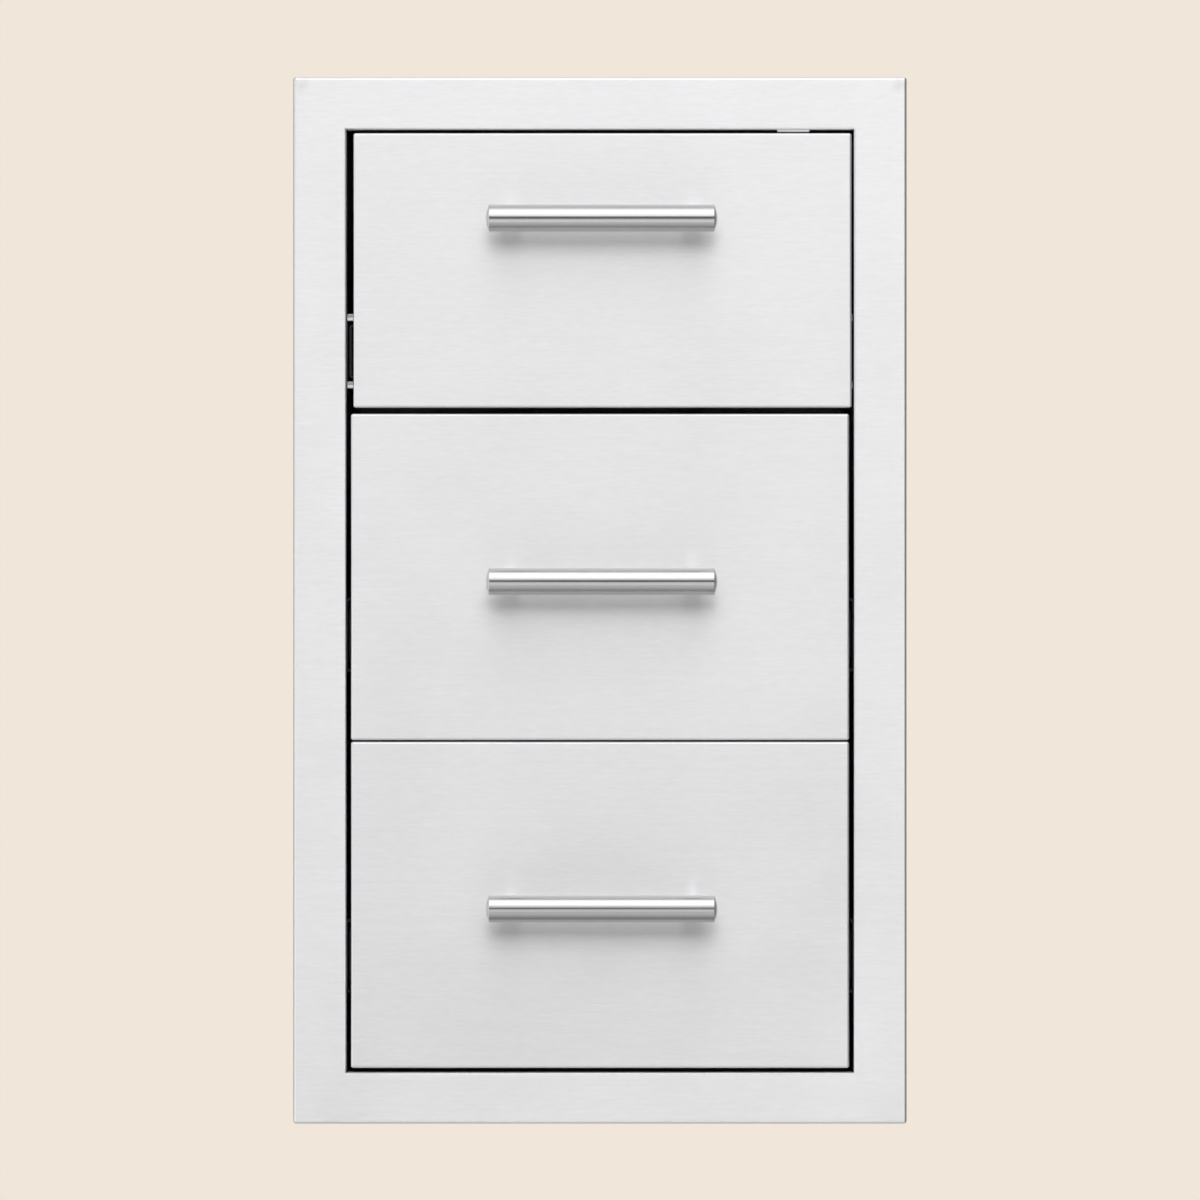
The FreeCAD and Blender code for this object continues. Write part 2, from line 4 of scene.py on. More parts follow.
import bmesh
import bpy
from bpy.props import FloatProperty, FloatVectorProperty, IntProperty, PointerProperty
from bpy.types import NodeSocket, Operator, Panel, PropertyGroup
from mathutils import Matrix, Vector


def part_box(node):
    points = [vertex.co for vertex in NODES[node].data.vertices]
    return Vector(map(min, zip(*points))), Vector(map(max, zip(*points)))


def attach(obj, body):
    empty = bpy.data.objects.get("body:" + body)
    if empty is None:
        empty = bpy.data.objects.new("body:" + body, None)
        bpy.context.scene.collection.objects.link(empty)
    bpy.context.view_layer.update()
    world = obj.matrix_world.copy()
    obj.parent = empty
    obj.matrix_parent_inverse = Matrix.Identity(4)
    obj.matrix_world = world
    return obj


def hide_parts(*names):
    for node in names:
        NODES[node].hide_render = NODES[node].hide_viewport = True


bl_info = {
    "name": "Outdoor Kitchen Drawer Unit",
    "version": (1, 0, 0),
    "blender": (4, 5, 0),
    "location": "View3D > Sidebar > Drawer Unit",
    "description": "Stainless steel finishes and detailed pieces for a built-in unit of three drawers",
    "category": "Object",
}

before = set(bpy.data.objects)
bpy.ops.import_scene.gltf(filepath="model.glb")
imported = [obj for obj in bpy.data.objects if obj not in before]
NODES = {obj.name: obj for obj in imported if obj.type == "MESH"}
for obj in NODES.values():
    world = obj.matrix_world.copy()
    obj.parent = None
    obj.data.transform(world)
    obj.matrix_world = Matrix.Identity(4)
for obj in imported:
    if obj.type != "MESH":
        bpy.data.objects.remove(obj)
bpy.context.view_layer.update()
DRAWERS = ("top", "middle", "bottom")
HANDS = ("left", "right")
UP_AND_DOWN = (1, -1)
Y, Z = 1, 2
TO_FRONT = (pi / 2, 0.0, 0.0)
TO_SIDE = (0.0, pi / 2, 0.0)
CABINET_SHEET = 0.0012


# Sizes and colours that a user would change


def length(name, description, default):
    return FloatProperty(name=name, description=description, default=default, unit="LENGTH")


def colour_of(name, description, default):
    return FloatVectorProperty(name=name, description=description, default=default, subtype="COLOR")


class FrameSizes(PropertyGroup):
    sheet: length("Sheet", "Thickness of the face frame's sheet", 0.0012)
    bend: length("Bend", "Outside radius of the folds round the rim", 0.0022)
    mouth_bend: length("Mouth bend", "Outside radius of the folds round the opening", 0.0016)
    stile: length("Stile", "Width of each upright", 0.0374)
    top_rail: length("Top rail", "Height of the top rail", 0.0370)
    bottom_rail: length("Bottom rail", "Height of the bottom rail", 0.0361)
    seat_lip: length("Seat lip", "Width of the lip that seats on the wall", 0.0100)
    relief: length("Corner relief", "Radius of the relief in each corner of the opening", 0.0010)


class FrontSizes(PropertyGroup):
    sheet: length("Sheet", "Thickness of a front's skin", 0.0010)
    bend: length("Bend", "Outside radius of its folds", 0.0016)
    hole: length("Screw hole", "Radius of the holes for the handle screws", 0.0026)


class HandleSizes(PropertyGroup):
    dome: length("Dome", "How far a bar's end stands out in its middle", 0.0022)
    dome_steps: IntProperty(name="Dome rings", description="Rings that round a bar's end", default=10, min=3)
    post_radius: length("Post radius", "Radius of a handle's posts", 0.0060)
    edge: length("Edge", "Small chamfer where a post meets the front", 0.0004)
    washer_radius: length("Washer radius", "Radius of the washer under a handle screw", 0.0055)


class RunnerSizes(PropertyGroup):
    side_plane: length(
        "Side plane",
        "From the unit's middle to the inner face of a side panel",
        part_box("cabinet_side_right")[1].x - CABINET_SHEET,
    )
    height: length("Height", "Height of a runner", 0.0530)
    thickness: length("Thickness", "From the cabinet's side to the drawer's", 0.0191)
    cabinet_sheet: length("Cabinet member", "Sheet of the cabinet member", 0.0016)
    middle_sheet: length("Intermediate member", "Sheet of the intermediate member", 0.0014)
    drawer_sheet: length("Drawer member", "Sheet of the drawer member", 0.0015)
    cage_sheet: length("Cage", "Strip of the ball cages", 0.0005)
    ball: length("Ball", "Radius of a ball", 0.0028)
    race_gap: length("Race gap", "Clearance round a ball", 0.0003)
    row_step: length("Row step", "How much lower the inner rows of balls run", 0.0030)
    inside_bend: length("Inside bend", "Inside radius of the tight bends", 0.0004)
    balls_in_row: IntProperty(name="Balls", description="Balls in one row of a cage", default=9, min=3)


class ScrewSizes(PropertyGroup):
    head_radius: length("Head radius", "Radius of a low-head screw", 0.0045)
    head_height: length("Head height", "Height of a low-head screw", 0.0016)
    recess: length("Recess", "Width across the cross recess", 0.0044)


class Finishes(PropertyGroup):
    front_steel: colour_of("Front steel", "Brushed steel of the frame and the fronts", (0.835, 0.835, 0.845))
    handle_steel: colour_of("Handle steel", "Satin steel of the bars", (0.53, 0.53, 0.53))
    cabinet_steel: colour_of("Cabinet steel", "Plain mill sheet of the cabinet and the boxes", (0.62, 0.62, 0.61))
    zinc: colour_of("Zinc plate", "Bright plate of the runners", (0.66, 0.67, 0.68))
    ball_steel: colour_of("Ball steel", "Polished steel of the balls", (0.75, 0.75, 0.76))
    backdrop: colour_of("Backdrop", "Warm pale colour round the unit", (0.871, 0.791, 0.701))


# Modelling by hand, in code

FOLD_STEPS = 6      # segments of a sheet's fold
TOUCH = 1e-5        # slack at the border of an area
CLOSE = 2e-5        # places nearer than this are the same
WELD = 1e-6         # vertices nearer than this are one
LOOKING = 0.9       # how nearly a face looks along an axis


def deselect():
    """Object mode, with nothing selected."""
    if bpy.context.object and bpy.context.object.mode != "OBJECT":
        bpy.ops.object.mode_set(mode="OBJECT")
    bpy.ops.object.select_all(action="DESELECT")


def only(*pieces):
    """Select these objects alone, the first of them active."""
    deselect()
    for piece in pieces:
        piece.select_set(True)
    bpy.context.view_layer.objects.active = pieces[0]


@contextmanager
def editing(piece, whole=False):
    """Edit mode on one piece, all of it selected where asked."""
    only(piece)
    bpy.ops.object.mode_set(mode="EDIT")
    if whole:
        bpy.ops.mesh.select_all(action="SELECT")
    yield piece
    bpy.ops.object.mode_set(mode="OBJECT")


def pick(piece, kind, test):
    """Select the faces or edges of a piece in edit mode for which the test is true."""
    bpy.ops.mesh.select_mode(type=kind)
    bpy.ops.mesh.select_all(action="DESELECT")
    shape = bmesh.from_edit_mesh(piece.data)
    elements = shape.faces if kind == "FACE" else shape.edges
    found = [element for element in elements if test(element)]
    if not found:
        raise RuntimeError(f"nothing to select on {piece.name}")
    for element in found:
        element.select_set(True)
    shape.select_flush_mode()
    bmesh.update_edit_mesh(piece.data)


def near(a, b):
    return abs(a - b) < CLOSE


def edge_on(axis, value):
    """Test for edges that lie wholly in the plane where one coordinate has the value."""
    return lambda edge: all(near(vertex.co[axis], value) for vertex in edge.verts)


def push(offset):
    """Extrude what is selected by an offset."""
    bpy.ops.mesh.extrude_region_move(TRANSFORM_OT_translate={"value": offset})


def bevel(offset, segments):
    """Round the edges that are selected."""
    bpy.ops.mesh.bevel(offset=offset, segments=segments, affect="EDGES")


def score(point, way):
    """Divide the whole mesh along a plane, taking nothing away."""
    bpy.ops.mesh.select_all(action="SELECT")
    bpy.ops.mesh.bisect(plane_co=point, plane_no=way)


def named(piece, name):
    piece.name = piece.data.name = name
    return piece


def settle(piece, name):
    """Put a new primitive's place into its mesh, and name it."""
    only(piece)
    bpy.ops.object.transform_apply(location=True, rotation=True, scale=True)
    return named(piece, name)


def stretched(piece, centre, size):
    """Scale a primitive of size 1 in edit mode to its three sizes."""
    with editing(piece, whole=True):
        bpy.ops.transform.resize(value=size, center_override=centre)
    return piece


def new_sheet(name, centre, size, turn):
    """A flat rectangle to fold, its sizes given on X, Y and Z once it is turned."""
    deselect()
    bpy.ops.mesh.primitive_plane_add(size=1, location=centre, rotation=turn)
    return stretched(settle(bpy.context.object, name), centre, size)


def front_sheet(name, low, high):
    """A flat rectangle over the front of a box, to fold back."""
    centre = ((low.x + high.x) / 2, low.y, (low.z + high.z) / 2)
    return new_sheet(name, centre, (high.x - low.x, 1.0, high.z - low.z), TO_FRONT)


def new_block(name, low, high):
    """A cube between two corners, to shape further."""
    deselect()
    centre = [(a + b) / 2 for a, b in zip(low, high)]
    bpy.ops.mesh.primitive_cube_add(size=1, location=centre)
    return stretched(settle(bpy.context.object, name), centre, [b - a for a, b in zip(low, high)])


def new_rod(name, radius, start, end, sides):
    """A round bar along one of the axes, to shape further."""
    deselect()
    way = Vector(end) - Vector(start)
    turn = TO_SIDE if abs(way.x) > 0 else TO_FRONT if abs(way.y) > 0 else (0.0, 0.0, 0.0)
    middle = (Vector(start) + Vector(end)) / 2
    bpy.ops.mesh.primitive_cylinder_add(
        vertices=sides, radius=radius, depth=way.length, location=middle, rotation=turn
    )
    return settle(bpy.context.object, name)


def turned(name, radius, place, start, end, sides, chamfer, *rims):
    """A rod along Y at a place in X and Z, chamfered at the rims given by their Y."""
    x, z = place
    rod = new_rod(name, radius, (x, start, z), (x, end, z), sides)
    with editing(rod):
        pick(rod, "EDGE", lambda edge: any(edge_on(Y, rim)(edge) for rim in rims))
        bevel(chamfer, 2)
    return rod


def modify(piece, kind, **settings):
    """Add a modifier and apply it."""
    only(piece)
    modifier = piece.modifiers.new(kind.title(), kind)
    for key, value in settings.items():
        setattr(modifier, key, value)
    bpy.ops.object.modifier_apply(modifier=modifier.name)


def flip(piece):
    with editing(piece, whole=True):
        bpy.ops.mesh.flip_normals()


def close_normals(piece):
    """Join doubles and make a mesh's faces agree, outwards where it is closed."""
    with editing(piece, whole=True):
        bpy.ops.mesh.remove_doubles(threshold=WELD)
        bpy.ops.mesh.normals_make_consistent(inside=False)


def thicken(piece, way, sheet):
    """Make a folded sheet's largest face look the given way, and give it its thickness behind that."""
    close_normals(piece)
    largest = max(piece.data.polygons, key=lambda face: face.area)
    if largest.normal.dot(Vector(way)) < 0:
        flip(piece)
    modify(piece, "SOLIDIFY", thickness=sheet, offset=-1.0, use_even_offset=True)


def cut_away(piece, *cutters):
    """Cut the cutters' shapes out of a piece, and remove them."""
    for cutter in cutters:
        modify(piece, "BOOLEAN", operation="DIFFERENCE", solver="EXACT", object=cutter)
        bpy.data.objects.remove(cutter)


def bore(piece, radius, places, start, end, sides):
    """Cut holes along Y at places in X and Z."""
    cut_away(piece, *[new_rod("bore", radius, (x, start, z), (x, end, z), sides) for x, z in places])


def joined(name, *pieces):
    """Join several meshes into the first."""
    only(*pieces)
    bpy.ops.object.join()
    return named(pieces[0], name)


def duplicated(piece):
    only(piece)
    bpy.ops.object.duplicate(linked=False)
    return bpy.context.object


def copied(piece, name, offset=(0.0, 0.0, 0.0), mirror=False):
    """A copy with its own mesh, moved, or mirrored left to right about the unit's middle."""
    copy = named(duplicated(piece), name)
    with editing(copy, whole=True):
        if mirror:
            bpy.ops.transform.resize(value=(-1.0, 1.0, 1.0), center_override=(0.0, 0.0, 0.0))
            bpy.ops.mesh.flip_normals()
        bpy.ops.transform.translate(value=offset)
    if mirror and signed_volume(copy) < 0:
        flip(copy)
    return copy


def signed_volume(piece):
    """Volume inside a closed mesh, negative where its faces look inwards."""
    shape = bmesh.new()
    shape.from_mesh(piece.data)
    volume = shape.calc_volume(signed=True)
    shape.free()
    return volume


def finished(piece, body, slot, material, *nodes, angle=35.0, ends=None):
    """Shade a piece, give it its finish and let it ride on its body in place of the CAD nodes named."""
    only(piece)
    bpy.ops.object.shade_smooth_by_angle(angle=radians(angle))
    modify(piece, "WEIGHTED_NORMAL", mode="FACE_AREA", weight=100, keep_sharp=True)
    if material:
        piece.data.materials.clear()
        piece.data.materials.append(finish(material))
    # End faces that look along Y take the second finish. On the runners that finish is painted shade: bare cut
    # steel made near black, as if lying in the gaps' shade.
    if ends:
        piece.data.materials.append(finish(ends))
        for face in piece.data.polygons:
            face.material_index = int(abs(face.normal.y) > LOOKING)
    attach(piece, body)
    if nodes:
        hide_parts(*nodes)
    return piece


# Finishes

FRONT_BRUSHING = (14.0, 2600.0, 2600.0)     # how patterns are stretched on X, Y and Z
BAR_BRUSHING = (20.0, 1800.0, 1800.0)
POST_TURNING = (900.0, 2600.0, 900.0)
FLECKS = (110.0, 700.0, 700.0)
ROLL_MARKS = (260.0, 6.0, 260.0)
DIE_LINES = (1500.0, 6.0, 1500.0)
EVEN_GRAIN = (900.0, 900.0, 900.0)
WELD_INSET = WELD_REACH = 0.006
WELD_STRAW = (0.50, 0.44, 0.33, 1)
EDGE_PAINTED_SHADE = 0.16       # painted shade: a cut end's colour to the plate's, bare steel darkened far past its own tone to stand for the shade deep in the gaps


class Graph:
    """The nodes of a material or of the world, with short ways to add those that repeat."""

    def __init__(self, tree):
        self.nodes, self.links = tree.nodes, tree.links

    def feed(self, node, inputs):
        """Set a node's inputs, each to a value or from another node's output."""
        for key, value in inputs.items():
            if isinstance(value, NodeSocket):
                self.links.new(value, node.inputs[key])
            else:
                node.inputs[key].default_value = value

    def add(self, kind, inputs, output=0, **settings):
        """A new node with its settings and inputs, known by one output."""
        node = self.nodes.new("ShaderNode" + kind)
        for key, value in settings.items():
            setattr(node, key, value)
        self.feed(node, inputs)
        return node.outputs[output]

    def noise(self, where, scale=1.0, detail=3.0, roughness=0.55, stretch=None):
        """A noise pattern, stretched by a Mapping node where asked."""
        if stretch is not None:
            where = self.add("Mapping", {"Vector": where, "Scale": stretch}, "Vector")
        pattern = {"Vector": where, "Scale": scale, "Detail": detail, "Roughness": roughness}
        return self.add("TexNoise", pattern, "Fac")

    def ranged(self, value, low, high, start=0.3, end=0.7):
        """Spread a pattern's middle values over a range."""
        spread = {"Value": value, "From Min": start, "From Max": end, "To Min": low, "To Max": high}
        return self.add("MapRange", spread, "Result")

    def graded(self, value, stops):
        """A value that runs through the given stops, as pairs of place and level."""
        low, high = stops[0][0], stops[-1][0]
        ramp = self.nodes.new("ShaderNodeValToRGB")
        elements = ramp.color_ramp.elements
        while len(elements) < len(stops):
            elements.new(0.5)
        for element, (place, level) in zip(elements, stops):
            element.position = (place - low) / (high - low)
            element.color = (level, level, level, 1)
        self.feed(ramp, {"Fac": self.ranged(value, 0.0, 1.0, low, high)})
        return ramp.outputs["Color"]

    def math(self, operation, first, second):
        return self.add("Math", {0: first, 1: second}, operation=operation)

    def plus(self, first, second):
        return self.math("ADD", first, second)

    def times(self, first, second):
        return self.math("MULTIPLY", first, second)

    def blend(self, *shares):
        """Patterns added up, given as pairs of share and pattern."""
        total = None
        for share, pattern in shares:
            part = self.times(pattern, share)
            total = part if total is None else self.plus(total, part)
        return total

    def dimmed(self, level, mask, share):
        """A level with a share of it taken away where the mask is 1."""
        return self.times(level, self.plus(self.times(mask, -share), 1.0))

    def distance(self, where, point):
        return self.add("VectorMath", {0: where, 1: point}, "Value", operation="DISTANCE")

    def mixed(self, factor, first, second):
        """One colour turned into another by a factor."""
        return self.add("Mix", {"Factor": factor, "A": first, "B": second}, "Result", data_type="RGBA")

    def tinted(self, colour, factor, spread):
        """The colour from darker to lighter by the spread, as the factor goes from 0 to 1."""
        dark = [channel * (1 - spread) for channel in colour] + [1]
        light = [min(1.0, channel * (1 + spread)) for channel in colour] + [1]
        return self.mixed(factor, dark, light)

    def toned(self, colour, shade, spread):
        """The colour tinted by the middle values of a pattern."""
        return self.tinted(colour, self.ranged(shade, 0.0, 1.0, 0.35, 0.65), spread)

    def bump(self, height, depth, strength, after=None):
        """A normal from a height pattern, on top of another where one is given."""
        relief = {"Height": height, "Distance": depth, "Strength": strength}
        if after is not None:
            relief["Normal"] = after
        return self.add("Bump", relief, "Normal")


def new_material(name):
    """A new material: itself, its graph, its Object coordinates and its Principled shader."""
    material = bpy.data.materials.new(name)
    material.use_nodes = True
    graph = Graph(material.node_tree)
    return material, graph, graph.add("TexCoord", {}, "Object"), graph.nodes["Principled BSDF"]


def brushed_steel(name, colour, rough, along=FRONT_BRUSHING, anisotropic=0.80, dishing=0.25, welds=()):
    """Steel brushed along X: fine scratches, short flecks, faint cloudy patches, a little dishing of the sheet."""
    material, graph, where, shader = new_material(name)
    scratches = graph.noise(where, detail=5.0, roughness=0.62, stretch=along)
    coarse = graph.noise(where, roughness=0.5, stretch=[value * 0.22 for value in along])
    flecks = graph.noise(where, roughness=0.6, stretch=FLECKS)
    clouds = graph.noise(where, scale=9.0, detail=4.0, roughness=0.5)
    waves = graph.noise(where, scale=3.2, detail=1.0, roughness=0.4)
    lines = graph.blend((0.7, scratches), (0.3, coarse))
    shade = graph.blend((0.35, lines), (0.35, flecks), (0.30, clouds))
    tone = graph.toned(colour, shade, 0.05)
    for weld in welds:
        spot = graph.ranged(graph.distance(where, weld), 1.0, 0.0, 0.0, WELD_REACH)
        wisps = graph.noise(where, scale=260.0, roughness=0.6)
        tone = graph.mixed(graph.times(graph.times(spot, wisps), 0.5), tone, WELD_STRAW)
    roughness = graph.ranged(lines, rough - 0.035, rough + 0.035)
    graph.feed(shader, {
        "Base Color": tone,
        "Metallic": 1.0,
        "Roughness": graph.plus(roughness, graph.ranged(clouds, -0.02, 0.02)),
        "Anisotropic": anisotropic,
        "Tangent": graph.add("Tangent", {}, "Tangent", direction_type="RADIAL", axis="X"),
        "Normal": graph.bump(lines, 0.00002, 0.35, graph.bump(waves, 0.0012, dishing)),
    })
    return material


def sheet_steel(name, colour, rough, grain=ROLL_MARKS):
    """Plain rolled sheet: a soft satin skin with faint roll marks and cloudy patches."""
    material, graph, where, shader = new_material(name)
    roll = graph.noise(where, detail=4.0, roughness=0.6, stretch=grain)
    shade = graph.blend((0.4, roll), (0.6, graph.noise(where, scale=9.0, detail=4.0)))
    graph.feed(shader, {
        "Base Color": graph.toned(colour, shade, 0.035),
        "Metallic": 1.0,
        "Roughness": graph.ranged(shade, rough - 0.05, rough + 0.05),
        "Normal": graph.bump(roll, 0.00002, 0.06),
    })
    return material


def zinc_plate(name, colour, rough):
    """Plated strip: bright, with long die lines and small crystalline mottles."""
    material, graph, where, shader = new_material(name)
    die_lines = graph.noise(where, detail=4.0, roughness=0.6, stretch=DIE_LINES)
    mottles = graph.noise(where, scale=420.0, detail=2.0, roughness=0.5)
    shade = graph.blend((0.5, mottles), (0.5, graph.noise(where, scale=22.0, roughness=0.5)))
    graph.feed(shader, {
        "Base Color": graph.toned(colour, shade, 0.07),
        "Metallic": 1.0,
        "Roughness": graph.ranged(shade, rough - 0.06, rough + 0.08),
        "Normal": graph.bump(die_lines, 0.00004, 0.35),
    })
    return material


def ball_polish(name, colour):
    """Polished steel with a trace of grease haze."""
    material, graph, where, shader = new_material(name)
    haze = graph.noise(where, scale=900.0, detail=2.0, roughness=0.5)
    graph.feed(shader, {
        "Base Color": graph.tinted(colour, haze, 0.05),
        "Metallic": 1.0,
        "Roughness": graph.ranged(haze, 0.06, 0.16),
    })
    return material


def finish(name):
    """A finish by its name, made when it is first asked for."""
    if name in bpy.data.materials:
        return bpy.data.materials[name]
    colours = bpy.context.scene.drawer_unit_finishes
    steel, bars, sheets, zinc = colours.front_steel, colours.handle_steel, colours.cabinet_steel, colours.zinc
    low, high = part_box("face_frame")
    corners = [(x, low.y, high.z - WELD_INSET) for x in (low.x + WELD_INSET, high.x - WELD_INSET)]
    makers = {
        "frame_brushed_steel": lambda: brushed_steel(name, steel, 0.40, welds=corners),
        "front_brushed_steel": lambda: brushed_steel(name, steel, 0.40),
        "handle_satin_steel": lambda: brushed_steel(name, bars, 0.17, BAR_BRUSHING, 0.0, 0.0),
        "post_turned_steel": lambda: brushed_steel(name, steel, 0.45, POST_TURNING, 0.0, 0.0),
        "screw_steel": lambda: sheet_steel(name, steel, 0.26, EVEN_GRAIN),
        "cabinet_sheet_steel": lambda: sheet_steel(name, sheets, 0.36),
        "drawer_sheet_steel": lambda: sheet_steel(name, sheets, 0.30),
        # Cut ends of the runners: bare steel painted near black, a painted shade for the dark gaps in front of
        # them.
        "sheared_edge_steel": lambda: sheet_steel(name, [EDGE_PAINTED_SHADE * part for part in zinc], 0.5, EVEN_GRAIN),
        "runner_zinc_plate": lambda: zinc_plate(name, zinc, 0.30),
        "cage_zinc_plate": lambda: zinc_plate(name, zinc, 0.24),
        "ball_polished_steel": lambda: ball_polish(name, colours.ball_steel),
    }
    return makers[name]()


# Face frame

RELIEF_INSET = 0.7      # of a relief's radius, from the corner to its centre
RELIEF_PAST = 0.002


class DRAWERUNIT_OT_face_frame(Operator):
    """Fold the face frame from one sheet: front, seat lip behind, collar into the opening"""

    bl_idname = "drawerunit.face_frame"
    bl_label = "Face Frame"

    def execute(self, context):
        sizes = context.scene.drawer_unit_frame
        low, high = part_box("face_frame")
        left, right = low.x + sizes.stile, high.x - sizes.stile
        sill, head = low.z + sizes.bottom_rail, high.z - sizes.top_rail
        width, height = high.x - low.x, high.z - low.z
        middle = ((low.x + high.x) / 2, 0.0, (low.z + high.z) / 2)
        on_front = edge_on(Y, low.y)

        def within(point, slack):
            return left - slack < point.x < right + slack and sill - slack < point.z < head + slack

        def at_mouth(edge):
            return all(within(vertex.co, TOUCH) for vertex in edge.verts)

        def on_rim_fold(edge):
            on_side = all(near(abs(vertex.co.x - middle[0]), width / 2) for vertex in edge.verts)
            on_end = all(near(abs(vertex.co.z - middle[2]), height / 2) for vertex in edge.verts)
            level = near(*(vertex.co.y for vertex in edge.verts))
            return (level and (on_side or on_end)) or (on_side and on_end)

        piece = front_sheet("frame_folded_sheet", low, high)
        with editing(piece):
            for x in (left, right):
                score((x, 0, 0), (1, 0, 0))
            for z in (sill, head):
                score((0, 0, z), (0, 0, 1))
            pick(piece, "FACE", lambda face: within(face.calc_center_median(), 0.0))
            bpy.ops.mesh.delete(type="ONLY_FACE")
            pick(piece, "EDGE", lambda edge: edge.is_boundary and at_mouth(edge))
            push((0, high.y - low.y, 0))
            pick(piece, "EDGE", lambda edge: edge.is_boundary and on_front(edge))
            push((0, -low.y, 0))
            push((0, 0, 0))
            lips = 2 * sizes.seat_lip
            inwards = ((width - lips) / width, 1.0, (height - lips) / height)
            bpy.ops.transform.resize(value=inwards, center_override=middle)
            pick(piece, "EDGE", lambda edge: on_front(edge) and at_mouth(edge))
            bevel(sizes.mouth_bend, FOLD_STEPS)
            pick(piece, "EDGE", on_rim_fold)
            bevel(sizes.bend, FOLD_STEPS)
        thicken(piece, (0, -1, 0), sizes.sheet)
        inset = RELIEF_INSET * sizes.relief
        corners = [(x, z) for x in (left + inset, right - inset) for z in (sill + inset, head - inset)]
        bore(piece, sizes.relief, corners, low.y - RELIEF_PAST, high.y + RELIEF_PAST, sides=32)
        finished(piece, "cabinet", "front_steel", "frame_brushed_steel", "face_frame")
        return {"FINISHED"}


# Drawer fronts

HOLE_BEFORE, HOLE_BEHIND = 0.001, 0.003     # how far a hole's cutter reaches past the skin's face


class DRAWERUNIT_OT_drawer_fronts(Operator):
    """Fold the skin of each drawer front back on all four sides, with its handle holes"""

    bl_idname = "drawerunit.drawer_fronts"
    bl_label = "Drawer Fronts"

    def execute(self, context):
        sizes = context.scene.drawer_unit_fronts
        for drawer in DRAWERS:
            low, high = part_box(drawer + "_front_skin")
            piece = front_sheet(drawer + "_front_folded", low, high)
            with editing(piece):
                pick(piece, "EDGE", lambda edge: edge.is_boundary)
                push((0, high.y - low.y, 0))
                pick(piece, "EDGE", lambda edge: not edge.is_boundary)
                bevel(sizes.bend, FOLD_STEPS)
            thicken(piece, (0, -1, 0), sizes.sheet)
            places = post_places(context, drawer)
            bore(piece, sizes.hole, places, low.y - HOLE_BEFORE, low.y + HOLE_BEHIND, sides=24)
            finished(piece, drawer + "_drawer", "front_steel", "front_brushed_steel", drawer + "_front_skin")
        return {"FINISHED"}


# Handles

COPE_PLAY = 0.0001
WASHER, WASHER_EDGE = 0.001, 0.00015
HEAD_RADIUS, HEAD_REACH, HEAD_EDGE = 0.0046, 0.0045, 0.0004
SHANK_RADIUS, SHANK_REACH, SHANK_EDGE = 0.0024, 0.013, 0.0005


def post_places(context, drawer):
    """X and Z of a handle's two posts."""
    low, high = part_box(drawer + "_handle_posts")
    radius = context.scene.drawer_unit_handles.post_radius
    middle = (low.z + high.z) / 2
    return ((low.x + radius, middle), (high.x - radius, middle))


class DRAWERUNIT_OT_bar_handles(Operator):
    """Turn each handle's bar with its domed ends, and cope its two posts to it"""

    bl_idname = "drawerunit.bar_handles"
    bl_label = "Bar Handles"

    def execute(self, context):
        sizes = context.scene.drawer_unit_handles
        for drawer in DRAWERS:
            low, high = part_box(drawer + "_handle_bar")
            radius = (high.z - low.z) / 2
            middle = (low.y + radius, (low.z + high.z) / 2)
            bar = self.domed_bar(sizes, drawer + "_handle_bar_turned", low.x, high.x, middle, radius)
            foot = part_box(drawer + "_handle_posts")[1].y
            posts = []
            for x, z in post_places(context, drawer):
                post = turned("post", sizes.post_radius, (x, z), middle[0], foot, 64, sizes.edge, foot)
                ends = (low.x, middle[0], z), (high.x, middle[0], z)
                cut_away(post, new_rod("bar", radius - COPE_PLAY, *ends, sides=96))
                posts.append(post)
            pair = joined(drawer + "_handle_posts_coped", *posts)
            body = drawer + "_drawer"
            finished(bar, body, "handle_steel", "handle_satin_steel", drawer + "_handle_bar")
            finished(pair, body, "handle_steel", "post_turned_steel", drawer + "_handle_posts")
        return {"FINISHED"}

    def domed_bar(self, sizes, name, start, end, middle, radius):
        """A bar along X whose end faces are drawn out ring by ring to a shallow dome."""
        dome = sizes.dome
        ball = (radius**2 + dome**2) / (2 * dome)
        whole = asin(radius / ball)
        bar = new_rod(name, radius, (start + dome, *middle), (end - dome, *middle), sides=128)
        for way, plane in ((-1, start + dome), (1, end - dome)):
            with editing(bar):
                pick(bar, "FACE", lambda face: face.normal.x * way > LOOKING)
                last_rise, last_reach = radius, 0.0
                for step in range(1, sizes.dome_steps):
                    turn = whole * (1 - step / sizes.dome_steps)
                    rise = ball * sin(turn)
                    reach = dome - ball * (1 - cos(turn))
                    push((way * (reach - last_reach), 0, 0))
                    narrower = (1.0, rise / last_rise, rise / last_rise)
                    bpy.ops.transform.resize(value=narrower, center_override=(plane, *middle))
                    last_rise, last_reach = rise, reach
                push((way * (dome - last_reach), 0, 0))
                bpy.ops.mesh.merge(type="CENTER")
        close_normals(bar)
        return bar


class DRAWERUNIT_OT_handle_screws(Operator):
    """Hexagon screws and washers that hold the posts from inside each hollow front"""

    bl_idname = "drawerunit.handle_screws"
    bl_label = "Handle Screws"

    def execute(self, context):
        washer_radius = context.scene.drawer_unit_handles.washer_radius
        for drawer in DRAWERS:
            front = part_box(drawer + "_front_skin")[0].y
            seat = front + context.scene.drawer_unit_fronts.sheet
            under, top, tip = seat + WASHER, seat + HEAD_REACH, front - SHANK_REACH
            screws = []
            for place in post_places(context, drawer):
                screws += [
                    turned("washer", washer_radius, place, seat, under, 48, WASHER_EDGE, seat, under),
                    turned("head", HEAD_RADIUS, place, under, top, 6, HEAD_EDGE, top),
                    turned("shank", SHANK_RADIUS, place, tip, seat, 32, SHANK_EDGE, tip),
                ]
            piece = joined(drawer + "_handle_screws", *screws)
            finished(piece, drawer + "_drawer", "handle_steel", "screw_steel")
        return {"FINISHED"}


# Runners

